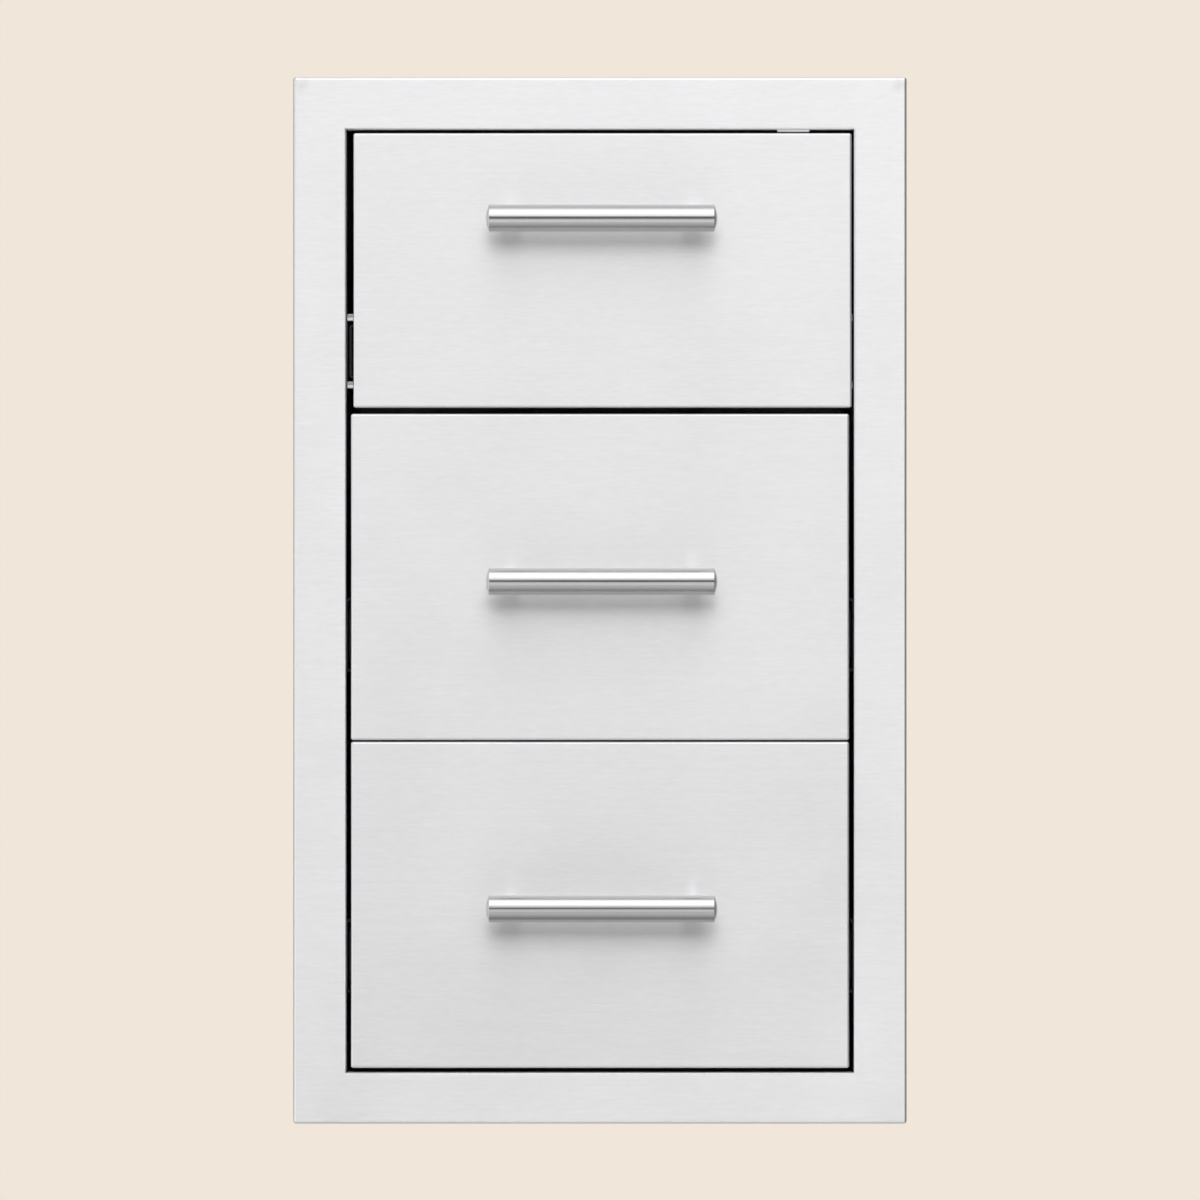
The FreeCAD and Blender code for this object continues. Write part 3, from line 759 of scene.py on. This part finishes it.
LIP_TURN, DRAWER_LIP_TURN = 155.0, 35.0     # degrees that a race's lip goes round its balls
HOOK_PLAY = 0.0003                          # behind the side panel
HOOK_SHEET, HOOK_HALF_WIDTH, HOOK_DROP, HOOK_BEND = 0.0015, 0.005, 0.006, 0.0012
HOOK_FROM_END = 0.060
STOP_INNER, STOP_OUTER = 0.0014, 0.0062     # from the side panel
STOP_UNDER, STOP_OVER = 0.0006, 0.0001      # below the row of balls, and short of the runner's height
STOP_DEPTH, STOP_BEAD = 0.0016, 0.0009
ROW_FROM_END = 0.014
POCKET_PLAY, POCKET_OUT, POCKET_IN = 0.0001, 0.009, 0.004
CAGE_PLAY, OUTER_CAGE_REACH, INNER_CAGE_HALF = 0.0004, 0.0005, 0.0140
TIP_SHORT, TIP_LOWER = 0.0021, 0.0009       # of an inner cage's edge, to the centres of its balls


def level_and_span(node):
    """The Z of a node's middle, and where it starts and ends in Y."""
    low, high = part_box(node)
    return (low.z + high.z) / 2, (low.y, high.y)


def races(sizes):
    """A race's radius, then the section centres of the outer and inner rows: u inwards from the side, v up."""
    race = sizes.ball + sizes.race_gap
    outer_u = sizes.cabinet_sheet + race
    outer_v = sizes.height / 2 - outer_u
    reach = 2 * race + sizes.middle_sheet
    return race, (outer_u, outer_v), (outer_u + sqrt(reach**2 - sizes.row_step**2), outer_v - sizes.row_step)


def web(name, sizes, u, half, span, level):
    """The flat middle of a left-hand member or cage."""
    centre = (u - sizes.side_plane, (span[0] + span[1]) / 2, level)
    return new_sheet(name, centre, (1.0, span[1] - span[0], 2 * half), TO_SIDE)


class DRAWERUNIT_OT_runner_members(Operator):
    """Roll the three members of a runner from strip, then copy them to both sides of each drawer"""

    bl_idname = "drawerunit.runner_members"
    bl_label = "Runner Members"

    def execute(self, context):
        sizes = context.scene.drawer_unit_runners
        level, span = level_and_span("top_drawer_member_left")
        makers = (
            ("cabinet_member", self.cabinet_member(sizes, span, level)),
            ("intermediate_member", self.intermediate_member(sizes, span, level)),
            ("drawer_member", self.drawer_member(sizes, span, level)),
        )
        for kind, model in makers:
            for drawer in DRAWERS:
                shift = level_and_span(drawer + "_drawer_member_left")[0] - level
                for hand in HANDS:
                    node = f"{drawer}_{kind}_{hand}"
                    body = {
                        "cabinet_member": "cabinet",
                        "intermediate_member": f"{drawer}_intermediate_{hand}",
                        "drawer_member": drawer + "_drawer",
                    }[kind]
                    piece = copied(model, node.replace("member", "rolled"), (0, 0, shift), hand == "right")
                    # The cut ends, which look along Y, get a painted shade.
                    finished(piece, body, "runner_steel", "runner_zinc_plate", node, ends="sheared_edge_steel")
            bpy.data.objects.remove(model)
        self.end_stops(sizes, span[0], level)
        return {"FINISHED"}

    def end_stops(self, sizes, start, level):
        """Two beaded stops at the front end of each of the top drawer's cabinet members."""
        outer = races(sizes)[1]
        front = start - STOP_DEPTH
        left = []
        for up in UP_AND_DOWN:
            under, over = sorted(up * v for v in (outer[1] - STOP_UNDER, sizes.height / 2 - STOP_OVER))
            middle = level + (under + over) / 2
            low = (STOP_INNER - sizes.side_plane, front, level + under)
            stop = new_block("stop", low, (STOP_OUTER - sizes.side_plane, start, level + over))

            def on_front(edge):
                return edge_on(Y, front)(edge) and near(edge.verts[0].co.z, edge.verts[1].co.z)

            with editing(stop):
                score((0, 0, middle), (0, 0, 1))
                pick(stop, "EDGE", lambda edge: on_front(edge) and near(edge.verts[0].co.z, middle))
                bpy.ops.transform.translate(value=(0, STOP_BEAD, 0))
                pick(stop, "EDGE", on_front)
                bevel(STOP_BEAD, 4)
            close_normals(stop)
            left.append(stop)
        left = joined("stops", *left)
        piece = joined("top_runner_stops", left, copied(left, "stops_copy", mirror=True))
        finished(piece, "cabinet", "runner_steel", "runner_zinc_plate")

    def curl(self, sizes, level, centre, turn, up, steps):
        """Roll the edge that is selected about a centre in the section, upper or lower."""
        place = (centre[0] - sizes.side_plane, 0.0, level + up * centre[1])
        bpy.ops.mesh.spin(steps=steps, angle=radians(up * turn), center=place, axis=(0, 1, 0))

    def cabinet_member(self, sizes, span, level):
        outer = races(sizes)[1]
        piece = web("cabinet_member_model", sizes, 0.0, outer[1], span, level)
        for up in UP_AND_DOWN:
            with editing(piece):
                pick(piece, "EDGE", edge_on(Z, level + up * outer[1]))
                self.curl(sizes, level, outer, -LIP_TURN, up, 20)
        thicken(piece, (-1, 0, 0), sizes.cabinet_sheet)
        hooks = [self.hook(sizes, y, level) for y in (span[0] + HOOK_FROM_END, span[1] - HOOK_FROM_END)]
        return joined("cabinet_member_model", piece, *hooks)

    def hook(self, sizes, y, level):
        """A lanced hook that passes through the side panel and hangs down behind it."""
        outside = -sizes.side_plane - CABINET_SHEET - HOOK_PLAY
        back, top = outside - HOOK_SHEET, level + HOOK_SHEET
        low, high = (back, y - HOOK_HALF_WIDTH, level), (-sizes.side_plane, y + HOOK_HALF_WIDTH, top)
        hook = new_block("hook", low, high)
        with editing(hook):
            score((outside, 0, 0), (1, 0, 0))
            pick(hook, "FACE", lambda face: face.normal.z < -LOOKING and face.calc_center_median().x < outside)
            push((0, 0, -HOOK_DROP))
            pick(hook, "EDGE", lambda edge: all(near(v.co.x, back) and near(v.co.z, top) for v in edge.verts))
            bevel(HOOK_BEND, 4)
        close_normals(hook)
        return hook

    def intermediate_member(self, sizes, span, level):
        race, outer, inner = races(sizes)
        bend = sizes.middle_sheet + sizes.inside_bend
        corner = (outer[0], outer[1] - race - bend)
        slope = degrees(asin(sizes.row_step / (2 * race + sizes.middle_sheet)))
        piece = web("intermediate_member_model", sizes, outer[0] - bend, corner[1], span, level)
        for up in UP_AND_DOWN:
            with editing(piece):
                pick(piece, "EDGE", edge_on(Z, level + up * corner[1]))
                self.curl(sizes, level, corner, -90.0, up, 6)
                self.curl(sizes, level, outer, 90.0 - slope, up, 9)
                self.curl(sizes, level, inner, slope - LIP_TURN, up, 18)
        thicken(piece, (-1, 0, 0), sizes.middle_sheet)
        return piece

    def drawer_member(self, sizes, span, level):
        race, _, inner = races(sizes)
        bend = sizes.drawer_sheet + sizes.inside_bend
        corner = (sizes.thickness - bend, inner[1] - race - bend)
        piece = web("drawer_member_model", sizes, sizes.thickness, corner[1], span, level)
        for up in UP_AND_DOWN:
            with editing(piece):
                pick(piece, "EDGE", edge_on(Z, level + up * corner[1]))
                self.curl(sizes, level, corner, 90.0, up, 6)
                push((inner[0] - corner[0], 0, 0))
                self.curl(sizes, level, inner, -DRAWER_LIP_TURN, up, 6)
        thicken(piece, (1, 0, 0), sizes.drawer_sheet)
        return piece


class DRAWERUNIT_OT_ball_cages(Operator):
    """Press the outer and inner ball cages and set their balls, on both sides of each drawer"""

    bl_idname = "drawerunit.ball_cages"
    bl_label = "Ball Cages"

    def execute(self, context):
        sizes = context.scene.drawer_unit_runners
        _, outer, inner = races(sizes)
        for kind, centre in (("outer", outer), ("inner", inner)):
            level, span = level_and_span(f"top_{kind}_ball_cages")
            strip = self.strip(sizes, kind, span, level)
            row = span[1] - span[0] - 2 * ROW_FROM_END
            shares = [i / (sizes.balls_in_row - 1) for i in range(sizes.balls_in_row)]
            places = [span[0] + ROW_FROM_END + row * share for share in shares]
            spots = [(y, level + up * centre[1]) for y in places for up in UP_AND_DOWN]
            u = centre[0] - sizes.side_plane
            radius = sizes.ball + POCKET_PLAY
            pockets = [
                new_rod("pocket", radius, (u - POCKET_OUT, y, z), (u + POCKET_IN, y, z), sides=24) for y, z in spots
            ]
            cut_away(strip, joined("pockets", *pockets))
            strip.data.materials.append(finish("cage_zinc_plate"))
            balls = self.balls(sizes, u, spots)
            for drawer in DRAWERS:
                node = f"{drawer}_{kind}_ball_cages"
                offset = (0, 0, level_and_span(node)[0] - level)
                halves = [
                    copied(model, model.name + "_copy", offset, hand == "right")
                    for hand in HANDS
                    for model in (strip, balls)
                ]
                piece = joined(f"{drawer}_{kind}_cages_pressed", *halves)
                finished(piece, f"{drawer}_{kind}_cages", "cage_steel", None, node, angle=40.0)
            bpy.data.objects.remove(strip)
            bpy.data.objects.remove(balls)
        return {"FINISHED"}

    def strip(self, sizes, kind, span, level):
        """The left-hand cage before its pockets are cut, the inner one with its edges bent out."""
        _, outer, inner = races(sizes)
        if kind == "outer":
            u, half = sizes.cabinet_sheet + CAGE_PLAY, outer[1] + OUTER_CAGE_REACH
        else:
            u, half = outer[0] - sizes.inside_bend + CAGE_PLAY, INNER_CAGE_HALF
        piece = web("cage_strip", sizes, u, half, span, level)
        if kind == "inner":
            for up in UP_AND_DOWN:
                with editing(piece):
                    pick(piece, "EDGE", edge_on(Z, level + up * half))
                    push((inner[0] - TIP_SHORT - u, 0, up * (inner[1] - TIP_LOWER - half)))
        thicken(piece, (-1, 0, 0), sizes.cage_sheet)
        return piece

    def balls(self, sizes, u, spots):
        """One row of balls above and one below, each a copy of the first."""
        deselect()
        y, z = spots[0]
        bpy.ops.mesh.primitive_uv_sphere_add(segments=20, ring_count=12, radius=sizes.ball, location=(u, y, z))
        first = settle(bpy.context.object, "ball")
        first.data.materials.append(finish("ball_polished_steel"))
        copies = [copied(first, "ball", (0, spot[0] - y, spot[1] - z)) for spot in spots[1:]]
        return joined("balls", first, *copies)


# Screws of the drawers

BOX_SHEET = 0.001
RUNNER_SCREW_FROM_END = 0.045
WALL_SCREW_FROM_SIDE, WALL_SCREW_FROM_EDGE = 0.050, 0.030
SCREW_RIM, SCREW_RINGS = 0.0005, 5      # straight part of a low head, and rings of its dome
BLADE_HALF, BLADE_DEPTH, BLADE_CLEAR = 0.00045, 0.0010, 0.001


class DRAWERUNIT_OT_drawer_screws(Operator):
    """Low-head screws that hold the runners to each box, and each box to its front"""

    bl_idname = "drawerunit.drawer_screws"
    bl_label = "Drawer Screws"

    def execute(self, context):
        model = self.screw(context.scene.drawer_unit_screws)
        for drawer in DRAWERS:
            level, (start, end) = level_and_span(drawer + "_drawer_member_left")
            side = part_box(drawer + "_drawer_box")[1].x - BOX_SHEET
            low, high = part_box(drawer + "_drawer_front_wall")
            side_screws = [
                self.placed(model, (-way * side, y, level), (0, way * pi / 2, 0))
                for y in (start + RUNNER_SCREW_FROM_END, (start + end) / 2, end - RUNNER_SCREW_FROM_END)
                for way in (1, -1)
            ]
            wall_screws = [
                self.placed(model, (x, low.y + BOX_SHEET, z), (-pi / 2, 0, 0))
                for x in (low.x + WALL_SCREW_FROM_SIDE, high.x - WALL_SCREW_FROM_SIDE)
                for z in (low.z + WALL_SCREW_FROM_EDGE, high.z - WALL_SCREW_FROM_EDGE)
            ]
            for name, screws in (("_runner_screws", side_screws), ("_front_screws", wall_screws)):
                finished(joined(drawer + name, *screws), drawer + "_drawer", "handle_steel", "screw_steel")
        bpy.data.objects.remove(model)
        return {"FINISHED"}

    def screw(self, sizes):
        """A low domed head with a cross recess, standing on the plane z = 0."""
        radius, top = sizes.head_radius, sizes.head_height
        head = new_rod("screw", radius, (0, 0, 0), (0, 0, SCREW_RIM), sides=40)
        with editing(head):
            pick(head, "FACE", lambda face: face.normal.z > LOOKING)
            last, last_turn = radius, 0.0
            for step in range(1, SCREW_RINGS + 1):
                turn = pi / 2 * step / (SCREW_RINGS + 1)
                rise = radius * cos(turn)
                push((0, 0, (top - SCREW_RIM) * (sin(turn) - sin(last_turn))))
                bpy.ops.transform.resize(value=(rise / last, rise / last, 1.0), center_override=(0, 0, 0))
                last, last_turn = rise, turn
        half = sizes.recess / 2
        for x, y in ((half, BLADE_HALF), (BLADE_HALF, half)):
            cut_away(head, new_block("recess", (-x, -y, top - BLADE_DEPTH), (x, y, top + BLADE_CLEAR)))
        close_normals(head)
        return head

    def placed(self, model, place, turn):
        """A copy of the screw, turned and put in its place."""
        copy = duplicated(model)
        copy.rotation_euler = turn
        copy.location = place
        return settle(copy, "screw_copy")


# Finishes of the pieces that stay as they are in the frame


class DRAWERUNIT_OT_sheet_finishes(Operator):
    """Give the cabinet, the boxes and the liners their sheet finishes"""

    bl_idname = "drawerunit.sheet_finishes"
    bl_label = "Sheet Finishes"

    def execute(self, context):
        for name, node in NODES.items():
            if node.hide_render:
                continue
            if name == "frame_clip" or name.endswith("front_liner"):
                material = finish("front_brushed_steel")
            elif name.startswith("cabinet"):
                material = finish("cabinet_sheet_steel")
            elif "_drawer_" in name:
                material = finish("drawer_sheet_steel")
            else:
                raise RuntimeError(f"{name} has no finish")
            node.data.materials.clear()
            node.data.materials.append(material)
        return {"FINISHED"}


# Studio

FLOOR_CENTRE, FLOOR_RADIUS, FLOOR_RIM = (0.0, 0.2, -0.40), 1.3, 0.5
FLOOR_FADE = (0.6, 1.2)
AIM = (0.0, 0.0, 0.33)
CAMERA_DISTANCE, CAMERA_RISE = 8.0, 0.0003
IMAGE_WIDTH, FRAME_WIDTH = 1200.0, 613.7    # pixels of the image, and of the face frame in it
SENSOR = 36.0

# How bright the studio is to a mirror, as pairs of place and level: by height, and from left to right
ROOM_HEIGHTS = (
    (-1.0, 0.3), (-0.94, 0.45), (-0.75, 0.6), (-0.55, 0.70), (-0.42, 0.4),
    (-0.12, 0.3), (0.2, 0.62), (0.5, 0.75), (0.72, 0.8), (1.0, 0.5),
)
ROOM_SIDES = ((-1.0, 0.95), (-0.25, 1.0), (0.25, 1.0), (0.6, 0.62), (1.0, 0.55))

# The same in front of the unit, and where that part of the studio lies
FRONT_HEIGHTS = (
    (-1.0, 0.38), (-0.87, 0.62), (-0.7, 0.76), (-0.5, 0.76), (-0.3, 0.52), (-0.2, 0.58), (-0.12, 0.85),
    (0.2, 2.2), (0.28, 1.5), (0.34, 1.2), (0.48, 0.75), (0.53, 1.4), (0.8, 1.4), (1.0, 1.2),
)
FRONT_SIDES = ((-0.6, 0.75), (-0.15, 0.85), (0.15, 1.15), (0.6, 0.95))
FRONT_ACROSS = ((-0.5, 0.0), (-0.3, 1.0), (0.3, 1.0), (0.5, 0.0))
FRONT_AWAY = ((-0.15, 1.0), (0.1, 0.0))

# Where the studio is dark: a band at the height of the unit, and black flags beside it
HORIZON, HORIZON_SHADE = ((-0.20, 0.0), (-0.07, 1.0), (0.18, 1.0), (0.32, 0.0)), 0.90
FLAGS_ACROSS = ((-0.7, 1.0), (-0.4, 0.0), (0.4, 0.0), (0.7, 1.0))
FLAGS_AWAY, FLAGS_SHADE = ((-0.30, 0.0), (-0.05, 1.0), (0.40, 1.0)), 0.75

BACKDROP_AWAY = (0.40, 0.55)    # where mirrors begin to show the backdrop
SOFT_LEVEL = 0.88               # of the room to surfaces that mirror nothing


class DRAWERUNIT_OT_studio(Operator):
    """Pale floor, soft light, warm background and the camera, level and straight on"""

    bl_idname = "drawerunit.studio"
    bl_label = "Studio"

    def execute(self, context):
        backdrop = context.scene.drawer_unit_finishes.backdrop
        pieces = [o for o in bpy.data.objects if o.type == "MESH" and not o.hide_render]
        brushed = [piece for piece in pieces if self.is_brushed(piece)]
        rails = [piece for piece in brushed if piece.name.startswith("frame")]
        self.floor(backdrop)
        self.background(context, backdrop)
        others = [o for o in bpy.data.objects if o.type == "MESH" and o not in brushed]
        self.softbox("overhead_softbox", (0.0, -1.95, 2.65), (4.0, 3.2), 0.62, others)
        self.softbox("rear_softbox", (0.0, 0.35, 3.2), (4.0, 1.2), 0.35, others)
        self.softbox("knee_softbox", (0.0, -2.2, -0.32), (4.0, 0.95), 0.42, others, pieces)
        self.softbox("front_softbox", (0.35, -5.6, 2.5), (4.0, 2.0), 1.68, brushed)
        self.softbox("left_softbox", (-2.9, -2.1, 0.33), (3.2, 3.0), 1.0, brushed)
        self.softbox("low_softbox", (0.0, -1.7, -1.35), (4.0, 1.3), 0.3, rails, pieces)
        self.camera(context)
        return {"FINISHED"}

    def is_brushed(self, piece):
        return any(slot.material and "brushed" in slot.material.name for slot in piece.material_slots)

    def floor(self, colour):
        """A pale round floor below the unit, which hangs in a wall in use, fading out at its edge."""
        deselect()
        bpy.ops.mesh.primitive_circle_add(
            vertices=64, radius=FLOOR_RADIUS, fill_type="NGON", location=FLOOR_CENTRE
        )
        floor = settle(bpy.context.object, "studio_floor")
        with editing(floor, whole=True):
            bpy.ops.mesh.inset(thickness=FLOOR_RIM)
        material, graph, where, shader = new_material("studio_floor_paint")
        clouds = graph.noise(where, scale=3.0, roughness=0.5)
        graph.feed(shader, {
            "Base Color": graph.tinted(colour, clouds, 0.01),
            "Roughness": 0.9,
            "Specular IOR Level": 0.1,
            "Alpha": graph.ranged(graph.distance(where, FLOOR_CENTRE), 1.0, 0.0, *FLOOR_FADE),
        })
        floor.data.materials.append(material)
        floor.visible_glossy = False

    def background(self, context, colour):
        """The backdrop's colour for the camera, and a plain studio for what the steel mirrors."""
        world = bpy.data.worlds.new("studio")
        context.scene.world = world
        world.use_nodes = True
        graph = Graph(world.node_tree)
        graph.nodes.clear()
        parts = graph.nodes.new("ShaderNodeSeparateXYZ")
        graph.feed(parts, {0: graph.add("TexCoord", {}, "Generated")})
        across, away, up = (parts.outputs[axis] for axis in "XYZ")
        middle = graph.graded(across, FRONT_ACROSS)
        room = graph.times(graph.graded(up, ROOM_HEIGHTS), graph.graded(across, ROOM_SIDES))
        front = graph.times(graph.graded(up, FRONT_HEIGHTS), graph.graded(across, FRONT_SIDES))
        sector = graph.times(middle, graph.graded(away, FRONT_AWAY))
        level = graph.plus(room, graph.times(graph.math("SUBTRACT", front, room), sector))
        level = graph.dimmed(level, graph.times(graph.graded(up, HORIZON), middle), HORIZON_SHADE)
        flags = graph.times(graph.graded(away, FLAGS_AWAY), graph.graded(across, FLAGS_ACROSS))
        level = graph.dimmed(level, flags, FLAGS_SHADE)
        rays = graph.nodes.new("ShaderNodeLightPath").outputs
        mirrored = graph.math("MAXIMUM", rays["Is Glossy Ray"], rays["Is Transmission Ray"])
        behind = graph.times(mirrored, graph.ranged(away, 0.0, 1.0, *BACKDROP_AWAY))
        shown = graph.math("MAXIMUM", rays["Is Camera Ray"], behind)
        pale = graph.add("Background", {"Color": (*colour, 1), "Strength": 1.0})
        soft = graph.add("Background", {"Color": (1, 1, 1, 1), "Strength": SOFT_LEVEL})
        studio = graph.add("Background", {"Color": (1, 1, 1, 1), "Strength": level})
        lit = graph.add("MixShader", {0: mirrored, 1: soft, 2: studio})
        whole = graph.add("MixShader", {0: shown, 1: lit, 2: pale})
        graph.feed(graph.nodes.new("ShaderNodeOutputWorld"), {"Surface": whole})

    def softbox(self, name, place, size, level, pieces, blockers=()):
        """A soft lamp of an even level that looks at the unit, for the pieces given, and what may block it."""
        deselect()
        bpy.ops.object.light_add(type="AREA", location=place)
        lamp = bpy.context.object
        lamp.name = name
        lamp.data.shape = "RECTANGLE"
        lamp.data.size, lamp.data.size_y = size
        lamp.data.energy = level * pi * size[0] * size[1]
        lamp.visible_camera = False
        aim = Vector(AIM) - Vector(place)
        lamp.rotation_euler = aim.to_track_quat("-Z", "Y").to_euler()
        for role, members in (("receiver", pieces), ("blocker", blockers)):
            if members:
                group = bpy.data.collections.new(f"{name}_{role}s")
                for piece in members:
                    group.objects.link(piece)
                setattr(lamp.light_linking, role + "_collection", group)

    def camera(self, context):
        """Level with the frame's middle, far enough to look straight into the gaps."""
        low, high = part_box("face_frame")
        place = ((low.x + high.x) / 2, low.y - CAMERA_DISTANCE, (low.z + high.z) / 2 + CAMERA_RISE)
        deselect()
        bpy.ops.object.camera_add(location=place, rotation=TO_FRONT)
        camera = bpy.context.object
        camera.name = "straight_on_camera"
        camera.data.sensor_width = SENSOR
        shown = (high.x - low.x) * IMAGE_WIDTH / FRAME_WIDTH
        camera.data.lens = SENSOR * CAMERA_DISTANCE / shown
        camera.data.clip_end = 100.0
        context.scene.camera = camera
        context.scene.view_settings.view_transform = "Standard"


# Panel and registration

STEPS = (
    DRAWERUNIT_OT_face_frame,
    DRAWERUNIT_OT_drawer_fronts,
    DRAWERUNIT_OT_bar_handles,
    DRAWERUNIT_OT_handle_screws,
    DRAWERUNIT_OT_runner_members,
    DRAWERUNIT_OT_ball_cages,
    DRAWERUNIT_OT_drawer_screws,
    DRAWERUNIT_OT_sheet_finishes,
    DRAWERUNIT_OT_studio,
)
GROUPS = {
    "drawer_unit_frame": FrameSizes,
    "drawer_unit_fronts": FrontSizes,
    "drawer_unit_handles": HandleSizes,
    "drawer_unit_runners": RunnerSizes,
    "drawer_unit_screws": ScrewSizes,
    "drawer_unit_finishes": Finishes,
}


class DRAWERUNIT_PT_panel(Panel):
    """The drawer unit's sizes, finishes and steps"""

    bl_idname = "DRAWERUNIT_PT_panel"
    bl_label = "Drawer Unit"
    bl_space_type = "VIEW_3D"
    bl_region_type = "UI"
    bl_category = "Drawer Unit"

    def draw(self, context):
        layout = self.layout
        for name, settings in GROUPS.items():
            column = layout.box().column()
            group = getattr(context.scene, name)
            for key in settings.__annotations__:
                column.prop(group, key)
        for step in STEPS:
            layout.operator(step.bl_idname)


def register():
    for settings in GROUPS.values():
        bpy.utils.register_class(settings)
    for step in (*STEPS, DRAWERUNIT_PT_panel):
        bpy.utils.register_class(step)
    for name, settings in GROUPS.items():
        setattr(bpy.types.Scene, name, PointerProperty(type=settings))


def unregister():
    for name in GROUPS:
        delattr(bpy.types.Scene, name)
    for step in (DRAWERUNIT_PT_panel, *reversed(STEPS)):
        bpy.utils.unregister_class(step)
    for settings in reversed(GROUPS.values()):
        bpy.utils.unregister_class(settings)


def main():
    register()
    for step in STEPS:
        group, name = step.bl_idname.split(".")
        getattr(getattr(bpy.ops, group), name)()


if __name__ == "__main__":
    main()
